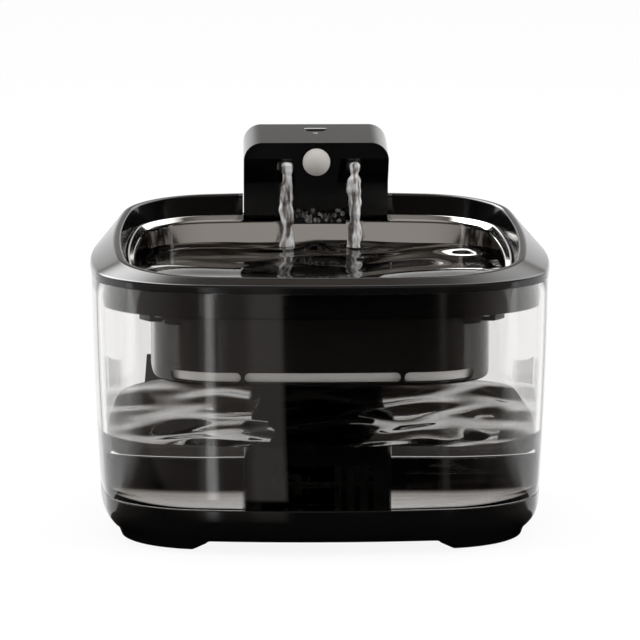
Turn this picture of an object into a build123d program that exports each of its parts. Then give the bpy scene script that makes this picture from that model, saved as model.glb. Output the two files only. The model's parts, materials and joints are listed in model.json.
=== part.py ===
from build123d import *
import math
import os

# Cordless pet water fountain: clear tank on a black base, sloping black rim, steel drinking tray,
# filter tub, pump tower with its riser, and a head with battery, sensor and two water spouts.
# Millimetres. Origin at the middle of the footprint on the floor, +Z up, +Y towards the head.

# ---------------------------------------------------------------- plan outlines
SIDE_RADIUS = 420.0        # the four sides bow out gently
RIM_HALF = 105.0           # half the width of the whole fountain
RIM_CORNER = 54.0
RIDGE_INSET = 11.0         # the ridge stands this far inside the rim's edge
RIDGE_TIGHTER = 9.5        # and its corners are this much tighter
RIDGE_HALF = RIM_HALF - RIDGE_INSET
RIDGE_CORNER = RIM_CORNER - RIDGE_TIGHTER
CREST_WIDTH = 2.8          # flat on top of the ridge
TRAY_INSET = 6.15          # edge of the steel flange inside the ridge
TRAY_TIGHTER = 6.5
TRAY_HALF = RIDGE_HALF - TRAY_INSET
TRAY_CORNER = RIDGE_CORNER - TRAY_TIGHTER
TANK_OVERHANG = 0.4        # the rim stands out over the tank
TANK_SWELL = 3.5           # the tank widens this much from the base to its top
BASE_HALF = RIM_HALF - TANK_OVERHANG - TANK_SWELL
BASE_TIGHTER = 5.5
BASE_CORNER = RIM_CORNER - BASE_TIGHTER
TUB_INSET = 9.85           # the tub's wall inside the edge of the tray
TUB_TIGHTER = 4.0
TUB_HALF = TRAY_HALF - TUB_INSET
TUB_CORNER = TRAY_CORNER - TUB_TIGHTER

# ---------------------------------------------------------------- heights
PAD_PROUD = 0.8            # how far the rubber pads stand out of the feet
FOOT_HEIGHT = 5.0
BASE_TOP = 20.0
TANK_UNDER = 10.0
TANK_TOP = 117.4
BAND_HEIGHT = 3.6          # upright band round the foot of the rim
RIDGE_RISE = 13.2
RIDGE_Z = TANK_TOP + RIDGE_RISE    # ridge height over the origin
RIDGE_SLOPE = 0.086        # the ridge rises towards the back
TRAY_SUNK = 6.9
TRAY_Z = RIDGE_Z - TRAY_SUNK       # flange height over the origin
TRAY_SLOPE = 0.06
TRAY_DEPTH = 19.7
TRAY_FLOOR = TRAY_Z - TRAY_DEPTH
SKIRT_BELOW = 3.6          # the rim's skirt ends this far below the tray's floor
SKIRT_LOW = TRAY_FLOOR - SKIRT_BELOW
TUB_DEPTH = 28.4
TUB_LOW = SKIRT_LOW - TUB_DEPTH

# ---------------------------------------------------------------- walls and gaps
BASE_WALL = 2.2
TANK_WALL = 2.5
RIM_WALL = 2.4
SKIRT_WALL = 2.0
TRAY_SHEET = 0.7
TUB_WALL = 1.8
CASE_WALL = 1.8
SEAT_GAP = 0.3             # between pieces that lift apart
SLIP = 0.1                 # between pieces of one assembly

# ---------------------------------------------------------------- base
BASE_WAIST_Z = 10.0
BASE_WAIST_IN = 2.5
BASE_ROUND_Z = 5.5
BASE_ROUND_IN = 6.3
FOOT_IN = 13.1
FOOT_LENGTH = 41.6         # each foot from the side of the base to its inner end, at the floor
FOOT_LENGTH_TOP = 48.6     # and under the base
WELL_IN = 16.0             # width of the ledge that the tank's floor rests on
WELL_DEPTH = 2.0
PAD_RADIUS = 8.0
PAD_DEPTH = 1.2
PAD_IN = 31.1              # middle of a pad from the side of the base

# ---------------------------------------------------------------- tank
TANK_STATIONS = ((BASE_TOP, 0.0), (52.0, 1.9), (TANK_TOP, TANK_SWELL))   # height, swell
TANK_CORNER_SWELL = 1.45   # the corner radius grows this much faster than the half width
SPIGOT_TAPER = 2.6         # the tank's foot narrows inside the base
TANK_EDGE = 3.0            # bevel of the tank's bottom edge
TANK_STEP = 4.0            # the inside narrows over this height above the base
TANK_STEP_WALL = 1.6       # wall of the part that drops into the base

# ---------------------------------------------------------------- rim
RIDGE_ROOF = 3.2
SEAT_WALL = 4.4            # thickness of the ring that carries the tray
LIP_HEIGHT = 11.4          # the lip that drops into the tank all round
LIP_WALL = 1.6
LIP_GAP = 1.2              # room for the tank's taper
TUB_LEDGE = 2.6
TUB_LEDGE_HEIGHT = 1.0
SKIRT_SHORT = 6.0          # between the tub's hangers the skirt ends this much higher
SKIRT_END = SKIRT_LOW + SKIRT_SHORT
HANGER_WIDTH = 8.0
HANGER_IN = 21.85          # middle of a hanger from the side of the tray
HANGER_PLACE = TRAY_HALF - HANGER_IN
CHUTE_DEPTH = 5.25         # the drain's shaft, from its front to its back

# ---------------------------------------------------------------- tray
SHOULDER_WIDTH = 2.65
SHOULDER_DROP = 2.5
BELLY_RISE = 5.0           # the bowl's wall bends in here, over the floor
BELLY_IN = 2.2
TURN_RISE = 1.0            # and meets the floor's slope here
TURN_IN = 4.6
FLOOR_IN = 9.0
DRAIN_HALF = 14.5
DRAIN_RISE = 0.7           # sill of the drain over the flange's middle height
DRAIN_SILL = TRAY_Z + DRAIN_RISE
GRILLE_HEIGHT = 7.8
GRILLE_TOP = DRAIN_SILL + GRILLE_HEIGHT
GRILLE_BAR = 1.2
GRILLE_LEG = 6.0
GRILLE_POSTS = 5

# ---------------------------------------------------------------- tub and filter
SLOT_RISE = 1.6
SLOT_LOW = TUB_LOW + SLOT_RISE
SLOT_HEIGHT = 4.6
SLOT_MIDDLE = 69.3
SLOT_BRIDGE = 1.7
SLOT_END = 10.45           # from the end of the row of slots to the side of the tub
SLOT_SIDE = TUB_HALF - SLOT_END - SLOT_BRIDGE - SLOT_MIDDLE / 2
TUB_EDGE = 1.4
TUB_FLANGE = 1.0
FLOOR_SLOT = 4.0
FLOOR_SLOT_PITCH = 12.0
FLOOR_SLOTS = 9
FLOOR_SLOT_END = 24.0      # from the end of a floor slot to the side of the tub
FILTER_GAP = 0.5
FILTER_HEIGHT = 20.5
FILTER_TOP = TUB_LOW + FILTER_HEIGHT
FILTER_WALL = 1.4
FILTER_RIB = 2.0
FILTER_RIB_PITCH = 24.0
FILTER_RIBS = 5
COTTON_HEIGHT = 9.0
COTTON_TOP = TUB_LOW + COTTON_HEIGHT

# ---------------------------------------------------------------- head
HEAD_HALF = 34.3
HEAD_BACK_IN = 1.0
HEAD_BACK = RIM_HALF - HEAD_BACK_IN
HEAD_LENGTH = 42.0
HEAD_FRONT = HEAD_BACK - HEAD_LENGTH
BODY_LENGTH = 28.0
HEAD_FACE = HEAD_BACK - BODY_LENGTH        # front of the lower case
PLUG_LENGTH = 14.1
HEAD_PLUG_FRONT = HEAD_BACK - PLUG_LENGTH  # front of the foot that drops into the pocket
PLUG_SEAT = 4.2
HEAD_PLUG_LOW = TANK_TOP + PLUG_SEAT
PLUG_HEIGHT = 8.1
HEAD_LOW = HEAD_PLUG_LOW + PLUG_HEIGHT
BODY_HEIGHT = 15.6
HEAD_SPLIT = HEAD_LOW + BODY_HEIGHT
UNDERCUT = 12.9
BROW_LOW = HEAD_SPLIT + UNDERCUT
BROW_HEIGHT = 7.6
BROW_TOP = BROW_LOW + BROW_HEIGHT
TOP_RISE = 4.5
HEAD_TOP_BACK = BROW_TOP + TOP_RISE
HEAD_ROUND = 8.5
NOZZLE_SIDE = 18.3         # middle of a nozzle from the side of the head
NOZZLE_X = HEAD_HALF - NOZZLE_SIDE
TONGUE_BESIDE = 4.4        # the tongue's edge from the middle of a nozzle
TONGUE_TOP_HALF = NOZZLE_X - TONGUE_BESIDE
TONGUE_TAPER = 3.6
TONGUE_LOW_HALF = TONGUE_TOP_HALF - TONGUE_TAPER
TONGUE_GAP = 5.1
TONGUE_LOW = HEAD_LOW + TONGUE_GAP
TONGUE_ROUND = 2.0
RECESS_HALF = 15.5
RECESS_WALL = 1.3
RECESS_BACK = HEAD_PLUG_FRONT - RECESS_WALL
RECESS_RISE = 3.3
RECESS_TOP = HEAD_LOW + RECESS_RISE
POCKET_GAP = 0.35
POCKET_WALL = 2.1
POCKET_FLOOR = 2.3

# ---------------------------------------------------------------- water way
RISER_IN = 9.5
RISER_Y = HEAD_BACK - RISER_IN
TIP_RADIUS = 2.6
WATER_BORE = 1.7
TIP_REACH = 5.4
TIP_TOP = HEAD_PLUG_LOW + TIP_REACH
BOSS_RADIUS = 4.6
BOSS_BORE = 3.7
SEAL_RISE = 1.0
SEAL_LOW = HEAD_PLUG_LOW + SEAL_RISE
SEAL_HEIGHT = 3.0
TUBE_RADIUS = 2.4
TUBE_WALL = 0.9
TUBE_OVER_TIP = 0.8
MANIFOLD_LOW = TIP_TOP + TUBE_OVER_TIP
BOSS_NECK = 3.2
BOSS_TOP = MANIFOLD_LOW + BOSS_NECK
MANIFOLD_RISE = 1.0
MANIFOLD_Z = BROW_LOW + MANIFOLD_RISE
NOZZLE_IN = 4.6
NOZZLE_Y = HEAD_FRONT + NOZZLE_IN
NOZZLE_RADIUS = 3.1
NOZZLE_DROP = 5.6
NOZZLE_LOW = BROW_LOW - NOZZLE_DROP

# ---------------------------------------------------------------- pump tower
PUMP_HALF = 31.2
PUMP_BACK = BASE_HALF - BASE_WALL - SEAT_GAP - TANK_STEP_WALL - SLIP
PUMP_LENGTH = 40.9
PUMP_FRONT = PUMP_BACK - PUMP_LENGTH
PUMP_FOOT_STEP = 6.3       # the foot's back stands in from the housing's
PUMP_FOOT_BACK = PUMP_BACK - PUMP_FOOT_STEP
PUMP_JOIN_RISE = 2.6
PUMP_JOIN = BASE_TOP + PUMP_JOIN_RISE      # where the foot meets the housing
PUMP_UNDER_TUB = 6.0
PUMP_TOP = TUB_LOW - PUMP_UNDER_TUB
PUMP_WALL = 2.0
PUMP_CORNER = 4.0
PUMP_EDGE = 1.2
PUMP_FOOT_FLOOR = 1.5
INTAKE_SLOTS = 9
INTAKE_SIDE_SLOTS = 5
INTAKE_PITCH = 5.6
INTAKE_SLOT = 2.6
SPONGE_GAP = 0.8
SPONGE_TOP = PUMP_JOIN - SPONGE_GAP
ROTOR_IN = 18.4
ROTOR_Y = PUMP_FRONT + ROTOR_IN
VOLUTE_RADIUS = 16.2
VOLUTE_WALL = 1.8
VOLUTE_HEIGHT = 8.0
COVER_PLATE = 1.6
INTAKE_HOLE = 5.0
IMPELLER_RADIUS = 12.5
IMPELLER_DISC = 1.2
BLADE_HEIGHT = 3.4
BLADE_THICK = 1.2
BLADES = 6
SHAFT_RADIUS = 1.0
SHAFT_CLEARANCE = 0.05
MAGNET_RADIUS = 4.6
MOTOR_RADIUS = 13.5
LEAD_BEND = 6.0
LEAD_ROOM = 5.8            # the lead rises this far out of the motor before it turns
MOTOR_LOW = PUMP_JOIN + COVER_PLATE + VOLUTE_HEIGHT
MOTOR_LENGTH = PUMP_TOP - PUMP_WALL - LEAD_BEND - LEAD_ROOM - MOTOR_LOW
MOTOR_END = 6.0            # the motor is this much longer than the magnet
MAGNET_LENGTH = MOTOR_LENGTH - MOTOR_END
ROTOR_GAP = 0.6
COLUMN_HALF = 20.0
COLUMN_BEFORE = 3.3        # the column's front before the riser's axis
COLUMN_BEHIND = 3.5
COLUMN_FRONT = RISER_Y - COLUMN_BEFORE
COLUMN_BACK = RISER_Y + COLUMN_BEHIND
COLUMN_RISE = 1.0
COLUMN_TOP = TANK_TOP + COLUMN_RISE
LEAD_WIDTH = 2.0
LEAD_THICK = 1.2
LEAD_X = 12.0
LEAD_CHANNEL = 1.5

# ---------------------------------------------------------------- contacts
CONTACT_X = (9.5, 14.5)
CONTACT_BLOCK = (7.4, 16.6)
CONTACT_DEPTH = 2.2        # half depth of the contact block
CONTACT_RISE = 2.6
CONTACT_TOP = COLUMN_TOP + CONTACT_RISE
PAD_THICK = 0.3
PIN_RADIUS = 0.8
PIN_LENGTH = 4.9
PIN_TOP = HEAD_PLUG_LOW + PIN_LENGTH
PIN_PROUD = 0.25

# ---------------------------------------------------------------- electronics
BATTERY_IN = 7.3
BATTERY_HALF = HEAD_HALF - BATTERY_IN
BATTERY_THICK = 5.6
BATTERY_GAP = 0.4
BRACKET_THICK = 1.2
BRACKET_LIP = 6.0
BOARD_THICK = 1.6
BOARD_DROP = 3.6
BOARD_LOW = BROW_TOP - BOARD_DROP
BATTERY_DROP = 6.6
BATTERY_TOP = BOARD_LOW - BATTERY_DROP
BOARD_SIDE_IN = 8.3
BOARD_HALF = HEAD_HALF - BOARD_SIDE_IN
BOARD_FRONT_IN = 17.0
BOARD_FRONT = HEAD_FRONT + BOARD_FRONT_IN
BOARD_BACK_IN = 3.5
BOARD_BACK = HEAD_BACK - BOARD_BACK_IN
POST_RADIUS = 2.2
POST_X = BOARD_HALF - BOARD_BACK_IN
SCREW_RADIUS = 0.85
SCREW_HEAD_RADIUS = 1.7
SCREW_HEAD = 1.1
SCREW_LENGTH = 3.2
BUTTON_IN = 11.0
BUTTON_Y = HEAD_BACK - BUTTON_IN
BUTTON_LENGTH = 11.0
BUTTON_WIDTH = 5.4
BUTTON_GAP = 0.3
BUTTON_PROUD = 0.3
BUTTON_TRAVEL = 0.7
SWITCH_SIZE = 4.0
SWITCH_HEIGHT = 0.7
LIGHT_BEFORE = 9.0
LIGHT_Y = BUTTON_Y - LIGHT_BEFORE
LIGHT_RADIUS = 1.1
LENS_RADIUS = 6.5
LENS_DROP = 1.6
LENS_Z = BROW_LOW - LENS_DROP
LENS_PROUD = 2.4
LENS_HOLLOW = 0.4          # the hollow behind the dome reaches this far out of the wall
LENS_THICK = 1.0
LENS_RIM = 0.8
PIR_RADIUS = 4.6
PIR_LENGTH = 4.0
SENSOR_BESIDE = 3.6        # the sensor board's edge from the edge of the tongue
SENSOR_BOARD = (TONGUE_TOP_HALF - SENSOR_BESIDE, 7.0)     # half width, half height
CASE_SCREW_IN = 4.2
CASE_SCREW_X = HEAD_HALF - CASE_SCREW_IN
CASE_SCREW_Y = (HEAD_FACE + CASE_SCREW_IN, HEAD_BACK - CASE_SCREW_IN)
CASE_BOSS = 2.9
CASE_BOSS_UP = 11.0
CASE_SCREW_LENGTH = 21.0
GASKET = 0.8               # square section of the joint's rubber cord
PORT_SIDE = 16.3           # middle of the charging port from the side of the head
PORT_X = PORT_SIDE - HEAD_HALF
PORT_DROP = 5.8
PORT_Z = HEAD_SPLIT - PORT_DROP
PORT_HALF = (4.6, 1.7)
PORT_DEPTH = 4.0
FLAP_HALF = (6.6, 3.7)
FLAP_THICK = 1.1
CHARGE_BOARD_HALF = (7.0, 5.0)
PORT_PAD = 1.5             # the back wall is thicker round the port
SOCKET_WALL = 0.4


# ================================================================ helpers
def outline(half, corner, inset=0.0):
    """Rounded square of eight tangent arcs, moved in by inset all round."""
    reach = SIDE_RADIUS - half
    c = (math.sqrt(2 * (SIDE_RADIUS - corner) ** 2 - reach ** 2) - reach) / 2
    side = SIDE_RADIUS - inset
    mid = half - inset
    scale = side / (SIDE_RADIUS - corner)
    tangent = Vector((c + reach) * scale - reach, c * scale)
    knee = c + (corner - inset) / math.sqrt(2)
    edges = []
    for quarter in range(4):
        turn = Axis.Z
        points = [Vector(tangent.X, -tangent.Y), Vector(mid, 0), tangent,
                  Vector(knee, knee), Vector(tangent.Y, tangent.X)]
        p = [v.rotate(turn, 90 * quarter) for v in points]
        edges.append(ThreePointArc(p[0], p[1], p[2]))
        edges.append(ThreePointArc(p[2], p[3], p[4]))
    return Face(Wire(edges))


def at(face, z, slope=0.0):
    """Lay a plan outline at height z, rising by slope towards the back."""
    return Pos(0, 0, z) * Rot(math.degrees(math.atan(slope)), 0, 0) * face


def prism(half, corner, low, high, inset=0.0):
    return extrude(at(outline(half, corner, inset), low), high - low)


def block(x, y, z):
    """Box from three (low, high) pairs."""
    size = [b - a for a, b in (x, y, z)]
    mid = [(a + b) / 2 for a, b in (x, y, z)]
    return Pos(*mid) * Box(*size)


def rod(radius, start, end):
    along = Vector(*end) - Vector(*start)
    return Solid.make_cylinder(radius, along.length, Plane(origin=start, z_dir=along))


def soft_box(x, y, z, radius):
    """Box with its upright edges rounded."""
    shape = block(x, y, z)
    return fillet(shape.edges().filter_by(Axis.Z), radius)


def pill(length, width):
    return SlotOverall(length, width)


def join(shapes):
    shapes = list(shapes)
    whole = shapes[0]
    for shape in shapes[1:]:
        whole = whole + shape
    return whole


def mirror_x(values):
    return [sign * value for sign in (-1, 1) for value in values]


# ================================================================ base and tank
def base_section(z, inset):
    return at(outline(BASE_HALF, BASE_CORNER, inset), z)


def pad_places():
    place = BASE_HALF - PAD_IN
    return [(x, y) for x in (-place, place) for y in (-place, place)]


def make_base_shell():
    body = loft([base_section(PAD_PROUD, FOOT_IN), base_section(BASE_ROUND_Z, BASE_ROUND_IN),
                 base_section(BASE_WAIST_Z, BASE_WAIST_IN), base_section(BASE_TOP, 0.0)], ruled=True)
    low = BASE_HALF - FOOT_LENGTH
    top = BASE_HALF - FOOT_LENGTH_TOP
    arch = make_face(Polyline((-top, FOOT_HEIGHT), (top, FOOT_HEIGHT), (low, 0), (-low, 0), close=True))
    tunnel = extrude(Plane.XZ * arch, 2 * BASE_HALF, both=True)
    body -= tunnel
    body -= Rot(0, 0, 90) * tunnel
    body -= loft([base_section(TANK_UNDER, BASE_WALL + SPIGOT_TAPER), base_section(BASE_TOP, BASE_WALL)])
    body -= prism(BASE_HALF, BASE_CORNER, TANK_UNDER - WELL_DEPTH, TANK_UNDER, WELL_IN)
    for x, y in pad_places():
        body -= rod(PAD_RADIUS + SLIP, (x, y, 0), (x, y, PAD_PROUD + PAD_DEPTH))
    return body


def make_foot_pads():
    return [rod(PAD_RADIUS, (x, y, 0), (x, y, PAD_PROUD + PAD_DEPTH)) for x, y in pad_places()]


def tank_section(z, swell, inset):
    return at(outline(BASE_HALF + swell, BASE_CORNER + swell * TANK_CORNER_SWELL, inset), z)


def tank_foot(side, low, top):
    """The part that drops into the base: tapered, with a bevelled bottom edge."""
    shoulder = SPIGOT_TAPER * (top - low - TANK_EDGE) / (top - low)
    return [base_section(low, side + SPIGOT_TAPER + TANK_EDGE), base_section(low + TANK_EDGE, side + shoulder),
            base_section(top, side)]


def make_tank():
    side = BASE_WALL + SEAT_GAP
    walls = [tank_section(z, swell, 0.0) for z, swell in TANK_STATIONS]
    body = loft(walls, ruled=True) + loft(tank_foot(side, TANK_UNDER, BASE_TOP), ruled=True)
    first, second = TANK_STATIONS[:2]
    swell = first[1] + (second[1] - first[1]) * TANK_STEP / (second[0] - first[0])
    inside = tank_foot(side + TANK_STEP_WALL, TANK_UNDER + TANK_WALL, BASE_TOP)
    inside.append(tank_section(BASE_TOP + TANK_STEP, swell, TANK_WALL))
    inside += [tank_section(z, swell, TANK_WALL) for z, swell in TANK_STATIONS[1:]]
    return body - loft(inside, ruled=True)


# ================================================================ rim, tray, tub, filter
def ridge_outline(inset, drop=0.0):
    return at(outline(RIDGE_HALF, RIDGE_CORNER, inset), RIDGE_Z - drop, RIDGE_SLOPE)


def tray_outline(inset, drop=0.0):
    return at(outline(TRAY_HALF, TRAY_CORNER, inset), TRAY_Z - drop, TRAY_SLOPE)


def rim_dome():
    """Upright band, then the wide slope up and in to the tilted ridge."""
    band_top = TANK_TOP + BAND_HEIGHT
    band = prism(RIM_HALF, RIM_CORNER, TANK_TOP, band_top)
    slope = loft([at(outline(RIM_HALF, RIM_CORNER), band_top), ridge_outline(0.0)], ruled=True)
    return band + slope


def rim_hollow():
    under = loft([at(outline(RIM_HALF, RIM_CORNER, RIM_WALL), TANK_TOP),
                  ridge_outline(CREST_WIDTH / 2, RIDGE_ROOF)], ruled=True)
    return under - prism(TRAY_HALF, TRAY_CORNER, TANK_TOP, RIDGE_Z + RIDGE_RISE,
                         SHOULDER_WIDTH - SEAT_WALL)


def tray_bore(low, high):
    return prism(TRAY_HALF, TRAY_CORNER, low, high, SHOULDER_WIDTH - SEAT_GAP)


def tray_seat():
    """Room for the tray: sloping seat under its shoulder, and the leaning wall up to the crest."""
    deep = SHOULDER_WIDTH + SEAT_GAP
    seat = loft([tray_outline(deep, TRAY_SHEET + deep), tray_outline(-SEAT_GAP, TRAY_SHEET + SEAT_GAP)],
                ruled=True)
    wall = loft([tray_outline(-SEAT_GAP, TRAY_SHEET + SEAT_GAP), ridge_outline(CREST_WIDTH)], ruled=True)
    return seat + wall + tray_bore(SKIRT_LOW - SLIP, RIDGE_Z + RIDGE_SLOPE * RIDGE_HALF + CREST_WIDTH)


def skirt_ring(low, high, outside, inside):
    return (prism(TRAY_HALF, TRAY_CORNER, low, high, outside)
            - prism(TRAY_HALF, TRAY_CORNER, low, high, inside))


def pocket_space():
    """Notch in the back of the rim that the head drops into."""
    half = HEAD_HALF + POCKET_GAP
    over = HEAD_TOP_BACK
    upper = block((-half, half), (HEAD_FACE - POCKET_GAP, RIM_HALF + RIM_WALL),
                  (HEAD_LOW - POCKET_GAP, over))
    lower = block((-half, half), (HEAD_PLUG_FRONT - POCKET_GAP, RIM_HALF + RIM_WALL),
                  (HEAD_PLUG_LOW - POCKET_GAP, over))
    return upper + lower


def pocket_block():
    half = HEAD_HALF + POCKET_GAP + POCKET_WALL
    front = CHUTE_BACK
    low = HEAD_PLUG_LOW - POCKET_GAP - POCKET_FLOOR
    raw = block((-half, half), (front, RIM_HALF), (low, HEAD_TOP_BACK))
    return raw & rim_dome()


def hanger_zone():
    """Where the rim carries the tub: two places on each side, and all along the drain."""
    half = HANGER_WIDTH / 2
    bar = block((-RIM_HALF, RIM_HALF), (-half, half), (TUB_LOW, TANK_TOP))
    rows = [Rot(0, 0, angle) * Pos(0, y, 0) * bar for angle in (0, 90) for y in mirror_x([HANGER_PLACE])]
    side = DRAIN_HALF + POCKET_WALL
    return join(rows + [block((-side, side), (0, RIM_HALF), (TUB_LOW, TANK_TOP))])


CHUTE_BACK = HEAD_PLUG_FRONT - POCKET_GAP - POCKET_WALL   # water falls behind the tray here


def make_lid_rim():
    inner = SHOULDER_WIDTH - SEAT_GAP
    body = rim_dome() - rim_hollow()
    body += pocket_block()
    body += prism(TRAY_HALF, TRAY_CORNER, SKIRT_END, TANK_TOP + BAND_HEIGHT / 2, inner - SKIRT_WALL)
    body -= tray_seat()
    hangers = skirt_ring(SKIRT_LOW, SKIRT_END, inner - SKIRT_WALL, inner)
    hangers += skirt_ring(SKIRT_LOW, SKIRT_LOW + TUB_LEDGE_HEIGHT, inner - SKIRT_WALL, inner + TUB_LEDGE)
    body += hangers & hanger_zone()
    top_inset = TANK_WALL + LIP_GAP
    lip = (at(outline(RIM_HALF, RIM_CORNER, top_inset), TANK_TOP - LIP_HEIGHT),
           at(outline(RIM_HALF, RIM_CORNER, top_inset + LIP_WALL), TANK_TOP - LIP_HEIGHT))
    body += extrude(lip[0] - lip[1], LIP_HEIGHT + LIP_GAP + LIP_WALL + RIM_WALL / 2)
    chute_front = CHUTE_BACK - CHUTE_DEPTH
    side = DRAIN_HALF + POCKET_WALL
    body += block((-side, side), (TRAY_HALF - inner + SKIRT_WALL / 2, CHUTE_BACK + POCKET_WALL),
                  (SKIRT_LOW, TANK_TOP + BAND_HEIGHT / 2))
    body -= pocket_space()
    body -= block((-DRAIN_HALF, DRAIN_HALF), (chute_front, CHUTE_BACK),
                  (SKIRT_LOW + TUB_LEDGE_HEIGHT, HEAD_LOW + POCKET_GAP))
    body -= rod(TIP_RADIUS + 2 * SEAT_GAP, (0, RISER_Y, TANK_TOP), (0, RISER_Y, HEAD_PLUG_LOW))
    body -= block((CONTACT_BLOCK[0] - SEAT_GAP, CONTACT_BLOCK[1] + SEAT_GAP),
                  (RISER_Y - CONTACT_DEPTH - SEAT_GAP, RISER_Y + CONTACT_DEPTH + SEAT_GAP),
                  (TANK_TOP, HEAD_PLUG_LOW))
    return body


def bowl(sheet):
    """Bowl of the tray from the shoulder down, moved in by the sheet thickness."""
    base_in = SHOULDER_WIDTH + sheet
    under = TRAY_SHEET + SHOULDER_DROP - sheet
    sections = [at(outline(TRAY_HALF, TRAY_CORNER, base_in + FLOOR_IN), TRAY_FLOOR - TRAY_SHEET + sheet),
                at(outline(TRAY_HALF, TRAY_CORNER, base_in + TURN_IN), TRAY_FLOOR + TURN_RISE + sheet / 2),
                at(outline(TRAY_HALF, TRAY_CORNER, base_in + BELLY_IN), TRAY_FLOOR + BELLY_RISE),
                tray_outline(base_in, under)]
    shoulder = loft([tray_outline(base_in, under), tray_outline(sheet, TRAY_SHEET - sheet)], ruled=True)
    return loft(sections, ruled=True) + shoulder


def make_steel_tray():
    flange = loft([tray_outline(0.0, TRAY_SHEET), tray_outline(0.0)], ruled=True)
    body = bowl(0.0) + flange - bowl(TRAY_SHEET)
    drain = block((-DRAIN_HALF, DRAIN_HALF), (0, RIM_HALF), (DRAIN_SILL, RIDGE_Z + BAND_HEIGHT))
    return body - drain


def make_drain_grille():
    back = CHUTE_BACK - SLIP
    depth = (back - GRILLE_BAR, back)
    half = DRAIN_HALF - SLIP
    low = DRAIN_SILL - GRILLE_LEG
    bars = [block((-half, half), depth, (DRAIN_SILL, DRAIN_SILL + GRILLE_BAR)),
            block((-half, half), depth, (GRILLE_TOP - GRILLE_BAR, GRILLE_TOP))]
    for x in mirror_x([half - GRILLE_BAR / 2]):
        bars.append(block((x - GRILLE_BAR / 2, x + GRILLE_BAR / 2), depth, (low, GRILLE_TOP)))
    pitch = 2 * half / (GRILLE_POSTS + 1)
    for k in range(GRILLE_POSTS):
        x = -half + pitch * (k + 1)
        bars.append(block((x - GRILLE_BAR / 2, x + GRILLE_BAR / 2), depth, (DRAIN_SILL, GRILLE_TOP)))
    return join(bars)


def tub_slots():
    """Three pill slots in a row, on each of the four sides."""
    z = SLOT_LOW + SLOT_HEIGHT / 2
    middle = Pos(0, 0, z) * (Plane.XZ * pill(SLOT_MIDDLE, SLOT_HEIGHT))
    step = SLOT_MIDDLE / 2 + SLOT_BRIDGE + SLOT_SIDE / 2
    sides = [Pos(x, 0, z) * (Plane.XZ * pill(SLOT_SIDE, SLOT_HEIGHT)) for x in (-step, step)]
    row = join(extrude(face, TUB_HALF + TUB_WALL) for face in [middle] + sides)
    return [Rot(0, 0, angle) * row for angle in (0, 90, 180, 270)]


def make_filter_tub():
    flange_z = SKIRT_LOW + TUB_LEDGE_HEIGHT
    outer = prism(TUB_HALF, TUB_CORNER, TUB_LOW, flange_z + TUB_FLANGE)
    outer = chamfer(outer.faces().sort_by(Axis.Z)[0].edges(), TUB_EDGE)
    flange = prism(TRAY_HALF, TRAY_CORNER, flange_z, flange_z + TUB_FLANGE, SHOULDER_WIDTH)
    body = outer + (flange & hanger_zone())
    body -= prism(TUB_HALF, TUB_CORNER, TUB_LOW + TUB_WALL, flange_z + TUB_FLANGE, TUB_WALL)
    core = prism(TUB_HALF, TUB_CORNER, TUB_LOW, flange_z, 2 * TUB_WALL)
    for row in tub_slots():
        body -= row - core
    reach = FLOOR_SLOT_PITCH * (FLOOR_SLOTS - 1) / 2
    end = TUB_HALF - FLOOR_SLOT_END
    for k in range(FLOOR_SLOTS):
        y = k * FLOOR_SLOT_PITCH - reach
        across = (y - FLOOR_SLOT / 2, y + FLOOR_SLOT / 2)
        for side in ((-end, -FLOOR_SLOT / 2), (FLOOR_SLOT / 2, end)):
            body -= block(side, across, (TUB_LOW, TUB_LOW + TUB_WALL))
    return body


def filter_prism(low, high, inset):
    return prism(TUB_HALF, TUB_CORNER, low, high, TUB_WALL + FILTER_GAP + inset)


FILTER_LOW = TUB_LOW + TUB_WALL + SLIP


def make_filter_frame():
    body = filter_prism(FILTER_LOW, FILTER_TOP, 0.0)
    body -= filter_prism(FILTER_LOW + FILTER_WALL, FILTER_TOP, FILTER_WALL)
    window = filter_prism(FILTER_LOW, FILTER_LOW + FILTER_WALL, 3 * FILTER_WALL)
    reach = FILTER_RIB_PITCH * (FILTER_RIBS - 1) / 2
    for k in range(FILTER_RIBS):
        mid = k * FILTER_RIB_PITCH - reach
        rib = block((mid - FILTER_RIB / 2, mid + FILTER_RIB / 2), (-TUB_HALF, TUB_HALF),
                    (FILTER_LOW, FILTER_LOW + FILTER_WALL))
        window -= rib
        window -= Rot(0, 0, 90) * rib
    return body - window


def make_filter_cotton():
    return filter_prism(FILTER_LOW + FILTER_WALL + SEAT_GAP, COTTON_TOP, FILTER_WALL + SEAT_GAP)


def make_filter_carbon():
    return filter_prism(COTTON_TOP + SEAT_GAP, FILTER_TOP - FILTER_WALL, FILTER_WALL + SEAT_GAP)


# ================================================================ head
def head_side():
    """Side view of the whole head: brow, undercut, face, foot and back."""
    return make_face(Polyline(
        (HEAD_FRONT, BROW_LOW), (HEAD_FRONT, BROW_TOP), (HEAD_BACK, HEAD_TOP_BACK),
        (HEAD_BACK, HEAD_PLUG_LOW), (HEAD_PLUG_FRONT, HEAD_PLUG_LOW), (HEAD_PLUG_FRONT, HEAD_LOW),
        (HEAD_FACE, HEAD_LOW), (HEAD_FACE, HEAD_SPLIT), close=True))


TOP_SLOPE = (HEAD_TOP_BACK - BROW_TOP) / (HEAD_BACK - HEAD_FRONT)


def top_z(y):
    """Height of the head's sloping top over y."""
    return BROW_TOP + (y - HEAD_FRONT) * TOP_SLOPE


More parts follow.
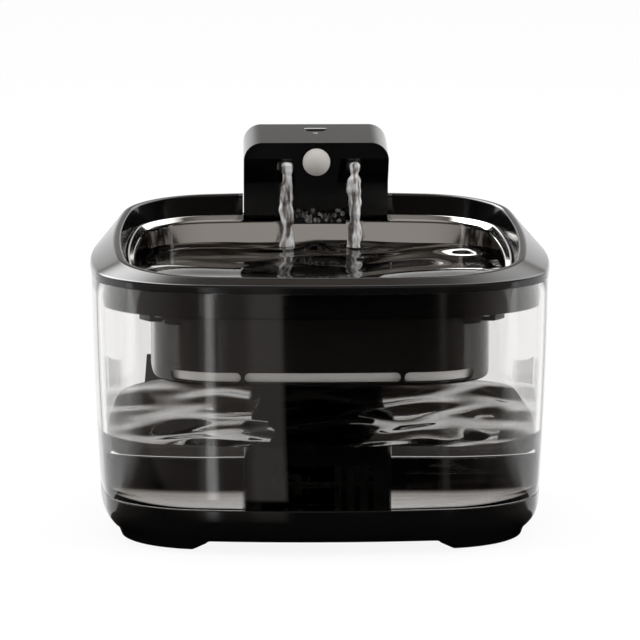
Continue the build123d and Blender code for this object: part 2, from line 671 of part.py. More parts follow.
def head_form(inset):
    """Outer form of the head, or its cavity when inset by the wall."""
    side = head_side()
    if inset:
        side = offset(side, -inset, kind=Kind.INTERSECTION)
    half = HEAD_HALF - inset
    deep = HEAD_TOP_BACK - HEAD_PLUG_LOW + HEAD_ROUND
    front = make_face(Polyline((-half, -deep), (half, -deep), (half, -inset), (-half, -inset), close=True))
    front = fillet(front.vertices().sort_by(Axis.Y)[-2:], HEAD_ROUND - inset)
    along = Plane(origin=(0, HEAD_FRONT, BROW_TOP), x_dir=(1, 0, 0), z_dir=(0, -1, -TOP_SLOPE))
    bar = extrude(along * front, 2 * HEAD_LENGTH, both=True)
    return bar & extrude(Plane.YZ * side, HEAD_HALF, both=True)


def tongue(inset, back):
    """Tapered tongue that hangs from the brow."""
    top = BROW_LOW + CASE_WALL
    slant = (TONGUE_TOP_HALF - TONGUE_LOW_HALF) / (BROW_LOW - TONGUE_LOW)
    low = TONGUE_LOW + inset
    wide = TONGUE_TOP_HALF + slant * (top - BROW_LOW) - inset
    narrow = TONGUE_LOW_HALF + slant * inset - inset
    face = make_face(Polyline((-wide, top), (wide, top), (narrow, low), (-narrow, low), close=True))
    if not inset:
        face = fillet(face.vertices().sort_by(Axis.Y)[:2], TONGUE_ROUND)
    return extrude(Pos(0, back, 0) * (Plane.XZ * face), back - HEAD_FRONT - inset)


def above(z):
    return block((-RIM_HALF, RIM_HALF), (0, 2 * RIM_HALF), (z, 2 * RIM_HALF))


def below(z):
    return block((-RIM_HALF, RIM_HALF), (0, 2 * RIM_HALF), (0, z))


def case_screw_places():
    return [(x, y) for x in mirror_x([CASE_SCREW_X]) for y in CASE_SCREW_Y]


def board_screw_places():
    inset = 2 * POST_RADIUS
    return [(x, y) for x in mirror_x([POST_X]) for y in (BOARD_FRONT + inset, BOARD_BACK - inset / 2)]


def make_head_cap():
    outer = head_form(0.0) & above(HEAD_SPLIT)
    body = outer + tongue(0.0, HEAD_FACE)
    cavity = head_form(CASE_WALL)
    inner = (cavity & above(HEAD_SPLIT)) + tongue(CASE_WALL, HEAD_FACE + CASE_WALL)
    bosses = [rod(CASE_BOSS, (x, y, HEAD_SPLIT), (x, y, HEAD_SPLIT + CASE_BOSS_UP))
              for x, y in case_screw_places()]
    posts = [rod(POST_RADIUS, (x, y, BOARD_LOW + BOARD_THICK), (x, y, HEAD_TOP_BACK))
             for x, y in board_screw_places()]
    body = body - inner + join((boss & cavity) for boss in bosses + posts)
    for x, y in case_screw_places():
        body -= rod(SCREW_RADIUS, (x, y, HEAD_SPLIT), (x, y, HEAD_SPLIT + CASE_BOSS_UP - CASE_WALL))
    for x, y in board_screw_places():
        body -= rod(SCREW_RADIUS, (x, y, BOARD_LOW), (x, y, BOARD_LOW + BOARD_THICK + SCREW_LENGTH / 2))
    body -= Pos(0, BUTTON_Y, 0) * extrude(pill(BUTTON_LENGTH + 2 * BUTTON_GAP, BUTTON_WIDTH + 2 * BUTTON_GAP),
                                          2 * HEAD_TOP_BACK) & above(BOARD_LOW)
    body -= rod(LIGHT_RADIUS, (0, LIGHT_Y, BOARD_LOW), (0, LIGHT_Y, HEAD_TOP_BACK))
    body -= rod(LENS_RADIUS - LENS_RIM, (0, HEAD_FRONT - LENS_RIM, LENS_Z), (0, HEAD_FACE, LENS_Z))
    for x in mirror_x([NOZZLE_X]):
        body -= rod(NOZZLE_RADIUS + SLIP, (x, NOZZLE_Y, NOZZLE_LOW), (x, NOZZLE_Y, MANIFOLD_Z))
    return body - duct(TUBE_RADIUS + SLIP)


def make_head_body():
    outer = head_form(0.0) & below(HEAD_SPLIT)
    recess = block((-RECESS_HALF, RECESS_HALF), (0, RECESS_BACK), (0, RECESS_TOP))
    roof = block((-RECESS_HALF - CASE_WALL, RECESS_HALF + CASE_WALL), (0, RECESS_BACK + CASE_WALL),
                 (0, RECESS_TOP + CASE_WALL))
    cavity = (head_form(CASE_WALL) & below(HEAD_SPLIT)) - roof
    body = outer - recess - cavity
    boss = rod(BOSS_RADIUS, (0, RISER_Y, HEAD_PLUG_LOW), (0, RISER_Y, BOSS_TOP))
    bosses = [rod(CASE_BOSS, (x, y, HEAD_PLUG_LOW), (x, y, HEAD_SPLIT)) & head_form(0.0)
              for x, y in case_screw_places()]
    wall = HEAD_BACK - CASE_WALL
    pad = block((PORT_X - FLAP_HALF[0] - CASE_WALL, PORT_X + FLAP_HALF[0] + CASE_WALL), (wall - PORT_PAD, wall),
                (PORT_Z - FLAP_HALF[1] - CASE_WALL, PORT_Z + FLAP_HALF[1] + CASE_WALL))
    body += join([boss, pad] + bosses)
    body -= rod(BOSS_BORE, (0, RISER_Y, HEAD_PLUG_LOW), (0, RISER_Y, MANIFOLD_LOW))
    body -= rod(TUBE_RADIUS, (0, RISER_Y, HEAD_PLUG_LOW), (0, RISER_Y, BOSS_TOP))
    for x, y in case_screw_places():
        low = HEAD_LOW if y < HEAD_PLUG_FRONT else HEAD_PLUG_LOW
        body -= rod(SCREW_RADIUS + SLIP, (x, y, low), (x, y, HEAD_SPLIT))
        seat = HEAD_SPLIT + CASE_BOSS_UP - 2 * CASE_WALL - CASE_SCREW_LENGTH
        body -= rod(SCREW_HEAD_RADIUS + SLIP, (x, y, low), (x, y, seat))
    for x in CONTACT_X:
        body -= rod(PIN_RADIUS, (x, RISER_Y, HEAD_PLUG_LOW), (x, RISER_Y, HEAD_PLUG_LOW + CASE_WALL))
    body -= block((PORT_X - PORT_HALF[0], PORT_X + PORT_HALF[0]), (HEAD_BACK - PORT_DEPTH, HEAD_BACK),
                  (PORT_Z - PORT_HALF[1], PORT_Z + PORT_HALF[1]))
    gap = SEAT_GAP
    body -= block((PORT_X - FLAP_HALF[0] - gap, PORT_X + FLAP_HALF[0] + gap),
                  (HEAD_BACK - FLAP_THICK - gap, HEAD_BACK),
                  (PORT_Z - FLAP_HALF[1] - gap, PORT_Z + FLAP_HALF[1] + gap))
    return body - make_case_gasket()


def make_case_gasket():
    """Cord of rubber in a groove along the middle of the lower shell's rim."""
    low = HEAD_SPLIT - GASKET
    margin = (CASE_WALL - GASKET) / 2

    def frame(inset):
        return block((-HEAD_HALF + inset, HEAD_HALF - inset), (HEAD_FACE + inset, HEAD_BACK - inset),
                     (low, HEAD_SPLIT))
    return frame(margin) - frame(margin + GASKET)


def screw(place, low, length):
    x, y = place
    head = rod(SCREW_HEAD_RADIUS, (x, y, low - SCREW_HEAD), (x, y, low))
    return head + rod(SCREW_RADIUS, (x, y, low), (x, y, low + length))


def make_case_screws():
    seat = HEAD_SPLIT + CASE_BOSS_UP - 2 * CASE_WALL - CASE_SCREW_LENGTH
    return [screw(place, seat, CASE_SCREW_LENGTH) for place in case_screw_places()]


def make_board_screws():
    return [screw(place, BOARD_LOW, SCREW_LENGTH) for place in board_screw_places()]


def make_sensor_lens():
    """Domed lens with a short collar through the wall, turned about its own axis."""
    curve = (LENS_RADIUS ** 2 + LENS_PROUD ** 2) / (2 * LENS_PROUD)
    half_way = LENS_RADIUS / 2
    bulge = LENS_PROUD - curve + math.sqrt(curve ** 2 - half_way ** 2)
    collar = LENS_RADIUS - LENS_RIM - SLIP
    hollow = LENS_RADIUS - LENS_RIM - LENS_THICK
    dome = ThreePointArc((0, LENS_PROUD), (half_way, bulge), (LENS_RADIUS, 0))
    rest = Polyline((LENS_RADIUS, 0), (collar, 0), (collar, -CASE_WALL), (hollow, -CASE_WALL),
                    (hollow, LENS_HOLLOW), (0, LENS_HOLLOW), (0, LENS_PROUD))
    turned = revolve(make_face([dome, rest]), Axis.Y)
    return Pos(0, HEAD_FRONT, LENS_Z) * Rot(0, 0, 180) * turned


def make_pir_sensor():
    front = HEAD_FRONT + 2 * CASE_WALL
    return rod(PIR_RADIUS, (0, front, LENS_Z), (0, front + PIR_LENGTH, LENS_Z))


def make_sensor_board():
    front = HEAD_FRONT + 2 * CASE_WALL + PIR_LENGTH
    return block((-SENSOR_BOARD[0], SENSOR_BOARD[0]), (front, front + BOARD_THICK),
                 (LENS_Z - SENSOR_BOARD[1], LENS_Z + SENSOR_BOARD[1] - CASE_WALL))


def make_main_board():
    board = block((-BOARD_HALF, BOARD_HALF), (BOARD_FRONT, BOARD_BACK), (BOARD_LOW, BOARD_LOW + BOARD_THICK))
    for x, y in board_screw_places():
        board -= rod(SCREW_RADIUS + SLIP, (x, y, BOARD_LOW), (x, y, BOARD_LOW + BOARD_THICK))
    return board


def make_mode_switch():
    low = BOARD_LOW + BOARD_THICK
    half = SWITCH_SIZE / 2
    return block((-half, half), (BUTTON_Y - half, BUTTON_Y + half), (low, low + SWITCH_HEIGHT))


def make_mode_button():
    """Pill-shaped cap with a stem that ends just over the switch."""
    top = top_z(BUTTON_Y) + BUTTON_PROUD
    low = top - CASE_WALL - BUTTON_PROUD
    cap = Pos(0, BUTTON_Y, low) * extrude(pill(BUTTON_LENGTH, BUTTON_WIDTH), top - low)
    stem_low = BOARD_LOW + BOARD_THICK + SWITCH_HEIGHT + BUTTON_TRAVEL + SLIP
    return cap + rod(SWITCH_SIZE / 2, (0, BUTTON_Y, stem_low), (0, BUTTON_Y, low))


def make_status_light():
    return rod(LIGHT_RADIUS, (0, LIGHT_Y, BOARD_LOW + BOARD_THICK), (0, LIGHT_Y, top_z(LIGHT_Y)))


BRACKET_LOW = RECESS_TOP + CASE_WALL + SLIP
BATTERY_LOW = BRACKET_LOW + BRACKET_THICK
BATTERY_FRONT = HEAD_FACE + CASE_WALL + BRACKET_THICK + SLIP


def make_battery_cells():
    cells = []
    for k in range(2):
        front = BATTERY_FRONT + k * (BATTERY_THICK + BATTERY_GAP)
        cells.append(block((-BATTERY_HALF + BRACKET_THICK, BATTERY_HALF - BRACKET_THICK),
                           (front, front + BATTERY_THICK), (BATTERY_LOW, BATTERY_TOP)))
    return cells


def make_battery_bracket():
    back = BATTERY_FRONT + 2 * BATTERY_THICK + 2 * BATTERY_GAP
    outer = block((-BATTERY_HALF, BATTERY_HALF), (BATTERY_FRONT - BRACKET_THICK, back + BRACKET_THICK),
                  (BRACKET_LOW, BATTERY_LOW + BRACKET_LIP))
    inner = block((-BATTERY_HALF + BRACKET_THICK, BATTERY_HALF - BRACKET_THICK),
                  (BATTERY_FRONT, back - BATTERY_GAP), (BATTERY_LOW, BATTERY_LOW + BRACKET_LIP))
    clear = rod(TUBE_RADIUS + SEAT_GAP, (0, RISER_Y, BRACKET_LOW), (0, RISER_Y, BATTERY_TOP))
    return outer - inner - clear


def make_charge_board():
    back = HEAD_BACK - CASE_WALL - PORT_PAD - SLIP
    return block((PORT_X - CHARGE_BOARD_HALF[0], PORT_X + CHARGE_BOARD_HALF[0]), (back - BOARD_THICK, back),
                 (PORT_Z - CHARGE_BOARD_HALF[1], PORT_Z + CHARGE_BOARD_HALF[1]))


def make_usb_socket():
    """Metal shell of the charging port, from its board to the floor of the flap's recess."""
    depth = (HEAD_BACK - CASE_WALL - PORT_PAD - SLIP, HEAD_BACK - FLAP_THICK - SEAT_GAP - SLIP)
    side = PORT_HALF[0] - SLIP
    rise = PORT_HALF[1] - SLIP
    shell = block((PORT_X - side, PORT_X + side), depth, (PORT_Z - rise, PORT_Z + rise))
    side -= SOCKET_WALL
    rise -= SOCKET_WALL
    return shell - block((PORT_X - side, PORT_X + side), (depth[0] + SOCKET_WALL, depth[1]),
                         (PORT_Z - rise, PORT_Z + rise))


def make_port_flap():
    return block((PORT_X - FLAP_HALF[0], PORT_X + FLAP_HALF[0]), (HEAD_BACK - FLAP_THICK, HEAD_BACK),
                 (PORT_Z - FLAP_HALF[1], PORT_Z + FLAP_HALF[1]))


# ================================================================ water way in the head
def duct(half):
    """Square duct along the head's roof: a cross piece and one arm to each nozzle."""
    level = (MANIFOLD_Z - half, MANIFOLD_Z + half)
    arms = [block((x - half, x + half), (NOZZLE_Y - half, RISER_Y + half), level) for x in mirror_x([NOZZLE_X])]
    return join([block((-NOZZLE_X, NOZZLE_X), (RISER_Y - half, RISER_Y + half), level)] + arms)


def make_water_manifold():
    bore = TUBE_RADIUS - TUBE_WALL
    body = duct(TUBE_RADIUS) + rod(TUBE_RADIUS, (0, RISER_Y, MANIFOLD_LOW), (0, RISER_Y, MANIFOLD_Z))
    body -= duct(bore) + rod(bore, (0, RISER_Y, MANIFOLD_LOW), (0, RISER_Y, MANIFOLD_Z))
    for x in mirror_x([NOZZLE_X]):
        body -= rod(bore, (x, NOZZLE_Y, MANIFOLD_Z - TUBE_RADIUS), (x, NOZZLE_Y, MANIFOLD_Z))
    return body


def make_spout_nozzles():
    high = MANIFOLD_Z - TUBE_RADIUS
    spouts = []
    for x in mirror_x([NOZZLE_X]):
        tube = rod(NOZZLE_RADIUS, (x, NOZZLE_Y, NOZZLE_LOW), (x, NOZZLE_Y, high))
        spouts.append(tube - rod(NOZZLE_RADIUS - TUBE_WALL, (x, NOZZLE_Y, NOZZLE_LOW), (x, NOZZLE_Y, high)))
    return spouts


def make_inlet_seal():
    high = SEAL_LOW + SEAL_HEIGHT
    return (rod(BOSS_BORE - SLIP / 2, (0, RISER_Y, SEAL_LOW), (0, RISER_Y, high))
            - rod(TIP_RADIUS + SEAT_GAP, (0, RISER_Y, SEAL_LOW), (0, RISER_Y, high)))


def make_contact_pins():
    return [rod(PIN_RADIUS, (x, RISER_Y, HEAD_PLUG_LOW - PIN_PROUD), (x, RISER_Y, PIN_TOP))
            for x in CONTACT_X]


# ================================================================ pump tower
TANK_FLOOR = TANK_UNDER + TANK_WALL


def pump_box(back, low, high, inset):
    return soft_box((-PUMP_HALF + inset, PUMP_HALF - inset), (PUMP_FRONT + inset, back - inset),
                    (low, high), PUMP_CORNER - inset)


VOLUTE_LOW = PUMP_JOIN + COVER_PLATE
VOLUTE_TOP = MOTOR_LOW
OUTLET_Z = VOLUTE_LOW + VOLUTE_HEIGHT / 2


def make_pump_housing():
    body = pump_box(PUMP_BACK, PUMP_JOIN, PUMP_TOP, 0.0)
    body = chamfer(body.faces().sort_by(Axis.Z)[-1].edges(), PUMP_EDGE)
    body -= pump_box(PUMP_BACK, PUMP_JOIN, PUMP_TOP - PUMP_WALL, PUMP_WALL)
    pipe = TIP_RADIUS + TUBE_WALL
    boss = rod(pipe, (0, RISER_Y, VOLUTE_LOW), (0, RISER_Y, PUMP_TOP))
    body += boss & pump_box(PUMP_BACK, VOLUTE_LOW, PUMP_TOP, 0.0)
    body -= rod(WATER_BORE, (0, RISER_Y, OUTLET_Z), (0, RISER_Y, PUMP_TOP))
    body -= rod(WATER_BORE, (0, RISER_Y, OUTLET_Z), (0, RISER_Y - pipe, OUTLET_Z))
    groove_low = PUMP_TOP - PUMP_WALL - 2 * LEAD_BEND
    return body - rod(LEAD_CHANNEL, (LEAD_X, RISER_Y, groove_low), (LEAD_X, RISER_Y, PUMP_TOP))


def make_pump_foot():
    """Open-topped foot with upright intake slots in front and at both sides."""
    body = pump_box(PUMP_FOOT_BACK, TANK_FLOOR, PUMP_JOIN, 0.0)
    body -= pump_box(PUMP_FOOT_BACK, TANK_FLOOR + PUMP_FOOT_FLOOR, PUMP_JOIN, PUMP_WALL)
    low = TANK_FLOOR + PUMP_FOOT_FLOOR
    high = PUMP_JOIN - PUMP_FOOT_FLOOR
    reach = INTAKE_PITCH * (INTAKE_SLOTS - 1) / 2
    for k in range(INTAKE_SLOTS):
        x = k * INTAKE_PITCH - reach
        body -= block((x - INTAKE_SLOT / 2, x + INTAKE_SLOT / 2), (PUMP_FRONT, PUMP_FRONT + PUMP_WALL),
                      (low, high))
    middle = (PUMP_FRONT + PUMP_FOOT_BACK) / 2
    reach = INTAKE_PITCH * (INTAKE_SIDE_SLOTS - 1) / 2
    for k in range(INTAKE_SIDE_SLOTS):
        y = middle + k * INTAKE_PITCH - reach
        body -= block((-PUMP_HALF, PUMP_HALF), (y - INTAKE_SLOT / 2, y + INTAKE_SLOT / 2), (low, high)) \
            - block((-PUMP_HALF + PUMP_WALL, PUMP_HALF - PUMP_WALL), (0, RIM_HALF), (low, high))
    return body


def make_intake_sponge():
    gap = PUMP_WALL + SEAT_GAP
    return soft_box((-PUMP_HALF + gap, PUMP_HALF - gap), (PUMP_FRONT + gap, PUMP_FOOT_BACK - gap),
                    (TANK_FLOOR + PUMP_FOOT_FLOOR + SEAT_GAP, SPONGE_TOP), PUMP_CORNER - PUMP_WALL)


def make_volute_cover():
    inset = PUMP_WALL + SLIP
    plate = pump_box(PUMP_BACK, PUMP_JOIN, VOLUTE_LOW, inset)
    plate -= rod(INTAKE_HOLE, (0, ROTOR_Y, PUMP_JOIN), (0, ROTOR_Y, VOLUTE_LOW))
    arm = SHAFT_RADIUS
    bridge = block((-INTAKE_HOLE, INTAKE_HOLE), (ROTOR_Y - arm, ROTOR_Y + arm), (PUMP_JOIN, VOLUTE_LOW))
    hub = rod(2 * SHAFT_RADIUS, (0, ROTOR_Y, PUMP_JOIN), (0, ROTOR_Y, VOLUTE_LOW))
    seat = rod(SHAFT_RADIUS, (0, ROTOR_Y, PUMP_JOIN + COVER_PLATE / 2), (0, ROTOR_Y, VOLUTE_LOW))
    return plate + bridge + hub - seat


def make_volute_body():
    """Pump chamber: round wall, roof with the rotor's bore, and the outlet to the riser."""
    centre = (0, ROTOR_Y)
    wall = rod(VOLUTE_RADIUS, (*centre, VOLUTE_LOW), (*centre, VOLUTE_TOP))
    end = RISER_Y - TIP_RADIUS - TUBE_WALL
    spout = rod(TUBE_RADIUS, (0, ROTOR_Y, OUTLET_Z), (0, end, OUTLET_Z))
    body = wall + spout
    body -= rod(VOLUTE_RADIUS - VOLUTE_WALL, (*centre, VOLUTE_LOW), (*centre, VOLUTE_TOP - VOLUTE_WALL))
    body -= rod(WATER_BORE, (0, ROTOR_Y, OUTLET_Z), (0, end, OUTLET_Z))
    return body - rod(MAGNET_RADIUS + ROTOR_GAP, (*centre, VOLUTE_LOW), (*centre, VOLUTE_TOP))


MAGNET_LOW = VOLUTE_TOP + ROTOR_GAP
SHAFT_TOP = MAGNET_LOW + MAGNET_LENGTH + ROTOR_GAP + COVER_PLATE


def make_motor_stator():
    """Sealed motor: a round pot with the blind well that the rotor turns in."""
    body = rod(MOTOR_RADIUS, (0, ROTOR_Y, MOTOR_LOW), (0, ROTOR_Y, MOTOR_LOW + MOTOR_LENGTH))
    well = MAGNET_LOW + MAGNET_LENGTH + ROTOR_GAP
    body -= rod(MAGNET_RADIUS + ROTOR_GAP, (0, ROTOR_Y, MOTOR_LOW), (0, ROTOR_Y, well))
    return body - rod(SHAFT_RADIUS, (0, ROTOR_Y, well), (0, ROTOR_Y, SHAFT_TOP))


def make_rotor_shaft():
    return rod(SHAFT_RADIUS, (0, ROTOR_Y, PUMP_JOIN + COVER_PLATE / 2), (0, ROTOR_Y, SHAFT_TOP))


def rotor_bore(low, high):
    return rod(SHAFT_RADIUS + SHAFT_CLEARANCE, (0, ROTOR_Y, low), (0, ROTOR_Y, high))


def make_impeller():
    """Disc with upright blades below and a neck up to the magnet."""
    disc_top = VOLUTE_TOP - VOLUTE_WALL - ROTOR_GAP
    disc_low = disc_top - IMPELLER_DISC
    low = disc_low - BLADE_HEIGHT
    body = rod(IMPELLER_RADIUS, (0, ROTOR_Y, disc_low), (0, ROTOR_Y, disc_top))
    body += rod(2 * SHAFT_RADIUS, (0, ROTOR_Y, low), (0, ROTOR_Y, MAGNET_LOW))
    for k in range(BLADES):
        blade = block((SHAFT_RADIUS * 2 - SLIP, IMPELLER_RADIUS - SLIP), (-BLADE_THICK / 2, BLADE_THICK / 2),
                      (low, disc_low))
        body += Pos(0, ROTOR_Y, 0) * Rot(0, 0, 360 * k / BLADES) * blade
    return body - rotor_bore(low, MAGNET_LOW)


def make_rotor_magnet():
    high = MAGNET_LOW + MAGNET_LENGTH
    return rod(MAGNET_RADIUS, (0, ROTOR_Y, MAGNET_LOW), (0, ROTOR_Y, high)) - rotor_bore(MAGNET_LOW, high)


def make_riser_column():
    """Flat column behind the tub with a water bore, a wiring channel and the plug-in tip."""
    body = soft_box((-COLUMN_HALF, COLUMN_HALF), (COLUMN_FRONT, COLUMN_BACK), (PUMP_TOP, COLUMN_TOP),
                    PUMP_WALL)
    tip = rod(TIP_RADIUS, (0, RISER_Y, COLUMN_TOP), (0, RISER_Y, TIP_TOP))
    tip = chamfer(tip.edges().sort_by(Axis.Z)[-1], SEAT_GAP)
    contact = block(CONTACT_BLOCK, (RISER_Y - CONTACT_DEPTH, RISER_Y + CONTACT_DEPTH), (COLUMN_TOP, CONTACT_TOP))
    body = body + tip + contact
    body -= rod(WATER_BORE, (0, RISER_Y, PUMP_TOP), (0, RISER_Y, TIP_TOP))
    return body - rod(LEAD_CHANNEL, (LEAD_X, RISER_Y, PUMP_TOP), (LEAD_X, RISER_Y, CONTACT_TOP))


def make_contact_pads():
    reach = PIN_RADIUS + SEAT_GAP
    return [block((x - reach, x + reach), (RISER_Y - reach, RISER_Y + reach), (CONTACT_TOP, CONTACT_TOP + PAD_THICK))
            for x in CONTACT_X]


def make_pump_lead():
    """Flat two-core lead from the motor, over the housing's roof space and up the column."""
    start = MOTOR_LOW + MOTOR_LENGTH
    level = PUMP_TOP - PUMP_WALL - LEAD_BEND
    inside_x = MOTOR_RADIUS / 2
    path = FilletPolyline((inside_x, ROTOR_Y, start), (inside_x, ROTOR_Y, level),
                          (LEAD_X, RISER_Y, level), (LEAD_X, RISER_Y, CONTACT_TOP - PAD_THICK),
                          radius=[LEAD_BEND / 2, LEAD_BEND / 2])
    band = Plane(origin=path @ 0, z_dir=path % 0) * Rectangle(LEAD_WIDTH, LEAD_THICK)
    return sweep(band, path=path)


# ================================================================ writing the parts
PARTS = {
    "base_shell": make_base_shell, "foot_pads": make_foot_pads, "tank": make_tank,
    "lid_rim": make_lid_rim, "steel_tray": make_steel_tray, "drain_grille": make_drain_grille,
    "filter_tub": make_filter_tub, "filter_frame": make_filter_frame,
    "filter_cotton": make_filter_cotton, "filter_carbon": make_filter_carbon,
    "head_cap": make_head_cap, "head_body": make_head_body, "case_gasket": make_case_gasket,
    "case_screws": make_case_screws, "board_screws": make_board_screws,
    "sensor_lens": make_sensor_lens, "pir_sensor": make_pir_sensor,
    "sensor_board": make_sensor_board, "main_board": make_main_board,
    "mode_switch": make_mode_switch, "mode_button": make_mode_button,
    "status_light": make_status_light, "battery_cells": make_battery_cells,
    "battery_bracket": make_battery_bracket, "charge_board": make_charge_board,
    "usb_socket": make_usb_socket, "port_flap": make_port_flap,
    "water_manifold": make_water_manifold, "spout_nozzles": make_spout_nozzles,
    "inlet_seal": make_inlet_seal, "contact_pins": make_contact_pins,
    "pump_housing": make_pump_housing, "pump_foot": make_pump_foot,
    "intake_sponge": make_intake_sponge, "volute_cover": make_volute_cover,
    "volute_body": make_volute_body, "motor_stator": make_motor_stator,
    "rotor_shaft": make_rotor_shaft, "impeller": make_impeller, "rotor_magnet": make_rotor_magnet,
    "riser_column": make_riser_column, "contact_pads": make_contact_pads, "pump_lead": make_pump_lead,
}

os.makedirs("parts", exist_ok=True)
for name, make in PARTS.items():
    shape = make()
    solids = shape if isinstance(shape, list) else shape.solids()
    export_step(Compound(children=list(solids)), f"parts/{name}.step")
    print(name, len(solids), round(sum(solid.volume for solid in solids), 1))
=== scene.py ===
"""Cordless pet water fountain: clear tank, black rim, steel bowl, filter tub, pump tower and spout head."""

import json
import math

import bmesh
import bpy
import numpy as np
from bpy.props import FloatProperty, FloatVectorProperty, IntProperty, PointerProperty
from mathutils import Matrix, Vector


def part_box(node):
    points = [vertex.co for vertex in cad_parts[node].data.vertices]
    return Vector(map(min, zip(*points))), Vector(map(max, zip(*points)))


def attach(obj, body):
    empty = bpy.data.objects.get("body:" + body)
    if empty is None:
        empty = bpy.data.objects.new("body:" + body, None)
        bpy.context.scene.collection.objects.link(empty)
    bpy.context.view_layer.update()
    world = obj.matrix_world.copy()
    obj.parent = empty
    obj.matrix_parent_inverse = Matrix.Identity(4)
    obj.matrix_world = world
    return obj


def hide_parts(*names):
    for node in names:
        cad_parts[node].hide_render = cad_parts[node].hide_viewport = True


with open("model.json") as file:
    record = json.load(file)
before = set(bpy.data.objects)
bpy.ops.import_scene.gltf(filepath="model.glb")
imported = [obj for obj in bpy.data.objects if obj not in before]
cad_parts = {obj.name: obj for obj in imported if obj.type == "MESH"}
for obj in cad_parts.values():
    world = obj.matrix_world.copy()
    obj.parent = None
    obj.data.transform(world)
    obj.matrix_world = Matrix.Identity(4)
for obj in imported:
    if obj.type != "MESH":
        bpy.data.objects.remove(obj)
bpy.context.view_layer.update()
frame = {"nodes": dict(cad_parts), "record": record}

bl_info = {
    "name": "Pet Water Fountain",
    "version": (1, 0, 0),
    "blender": (4, 5, 0),
    "location": "View3D > Sidebar > Fountain",
    "description": "Builds the visible pieces, finishes, water and stage of a pet water fountain",
    "category": "Add Mesh",
}

MM = 0.001
ARC_STEPS = 24             # points along each side and each corner of a ring
BEND = (0.0, 0.15, 0.3, 0.5, 0.7, 0.85, 1.0)
SMOOTH_ANGLE = math.radians(32.0)
EDGE_ANGLE = math.radians(35.0)     # edges sharper than this are rounded
FLAT_ANGLE = math.radians(0.5)      # faces closer than this to one plane are merged
MERGE = 2e-6

# Sizes that the outlines share, in millimetres.
SIDE_RADIUS = 420.0
RIM = (105.0, 54.0)        # half width, corner radius
RIDGE = (94.0, 44.5)
TRAY = (87.85, 38.0)
BASE = (101.1, 48.5)
TUB = (78.0, 34.0)
CREST_WIDTH = 2.8
BASE_TOP = 20.0
TANK_TOP = 117.4
BAND_TOP = 121.0
RIDGE_Z = 130.6
RIDGE_SLOPE = 0.086
TRAY_Z = 123.7
TRAY_SLOPE = 0.06
TRAY_FLOOR = 104.0
SKIRT_LOW = 100.4          # foot of the hangers that carry the tub
SKIRT_END = 106.4          # foot of the skirt between the hangers
LIP_LOW = 106.0
LIP_IN = 3.7
LIP_WALL = 1.6
HANGER_HALF = 4.0
HANGER_PLACE = 66.0
HANGER_REACH = (55.0, 110.0)
LEDGE = 2.6
TUB_LOW = 72.0
FLANGE_Z = 101.4
TRAY_SHEET = 0.7
FLANGE_WIDTH = 2.65        # of the tray's flange, from its edge to the wall of the bowl
SEAT_GAP = 0.3
TANK_SWELL = 3.5
SWELL_BEND = 1.7
TANK_CORNER_SWELL = 1.45
TANK_WALL = 2.5
TANK_SIDE = 2.5            # the tank's foot stands this far inside the base
TANK_UNDER = float(round(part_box("tank")[0].z / MM, 3))
TANK_FLOOR = TANK_UNDER + 2.5
SPIGOT_TAPER = 2.6
HEAD_HALF = 34.3
HEAD_FACE = 76.0
HEAD_LOW = 129.7
PLUG_FRONT = 89.9
PLUG_LOW = 121.6
HEAD_FIT = 0.35            # room round the head in the rim
CRADLE_WALL = 2.45         # the rim's thickness beside the head, with that room
CRADLE_FLOOR = 2.65        # and under it
CHUTE_WALL = 2.1
CHUTE_BACK = 87.45
DRAIN_HALF = 14.5
DRAIN_SILL = 124.4
RISER_Y = 94.5
NOZZLE_X = 16.0
NOZZLE_Y = 66.6
NOZZLE_LOW = 152.6
STREAM_AHEAD = -2.6        # the streams fall this far in front of the mouths
STREAM_AIM = 2.1           # and this far to the right of them
PAD_PLACES = [(x, y, 0.0) for x in (-70.0, 70.0) for y in (-70.0, 70.0)]
WATER_OVERLAP = 0.12       # the water's sides lie this far inside the wall that holds it
SHEET_LIFT = 0.05          # the floor lies this far below zero, the dark sheets this far above it
PAST_ALL = 130.0           # ends of cuts that run out of a piece
PAST_RIM = 112.0
PAST_TOP = 180.0

# Numbers that the finishes share.
NOISE_SPAN = (0.3, 0.7)    # nearly all of a noise lies between these
FINE_DEPTH = 0.0001        # relief in metres
GRAIN_DEPTH = 0.0008
WHITE = (1.0, 1.0, 1.0, 1.0)


# ---------------------------------------------------------------- settings
class FountainSizes(bpy.types.PropertyGroup):
    """Sizes that may be changed before the pieces are built."""
    tank_level: FloatProperty(name="Tank water level", description="Height of the water in the tank",
                              default=0.0488, unit="LENGTH")
    bowl_level: FloatProperty(name="Bowl water level", description="Height of the water in the steel bowl",
                              default=0.1162, unit="LENGTH")
    tank_ripple: FloatProperty(name="Tank ripple", description="Height of the ripples in the tank",
                               default=0.0019, unit="LENGTH")
    bowl_ripple: FloatProperty(name="Bowl ripple", description="Height of the ripples in the bowl",
                               default=0.0011, unit="LENGTH")
    stream_radius: FloatProperty(name="Stream radius", description="Radius of each falling stream",
                                 default=0.0029, unit="LENGTH")
    edge: FloatProperty(name="Edge radius", description="Rounding of the moulded edges",
                        default=0.0007, unit="LENGTH")
    grille_posts: IntProperty(name="Grille posts", description="Upright bars in the drain grille",
                              default=5, min=1)


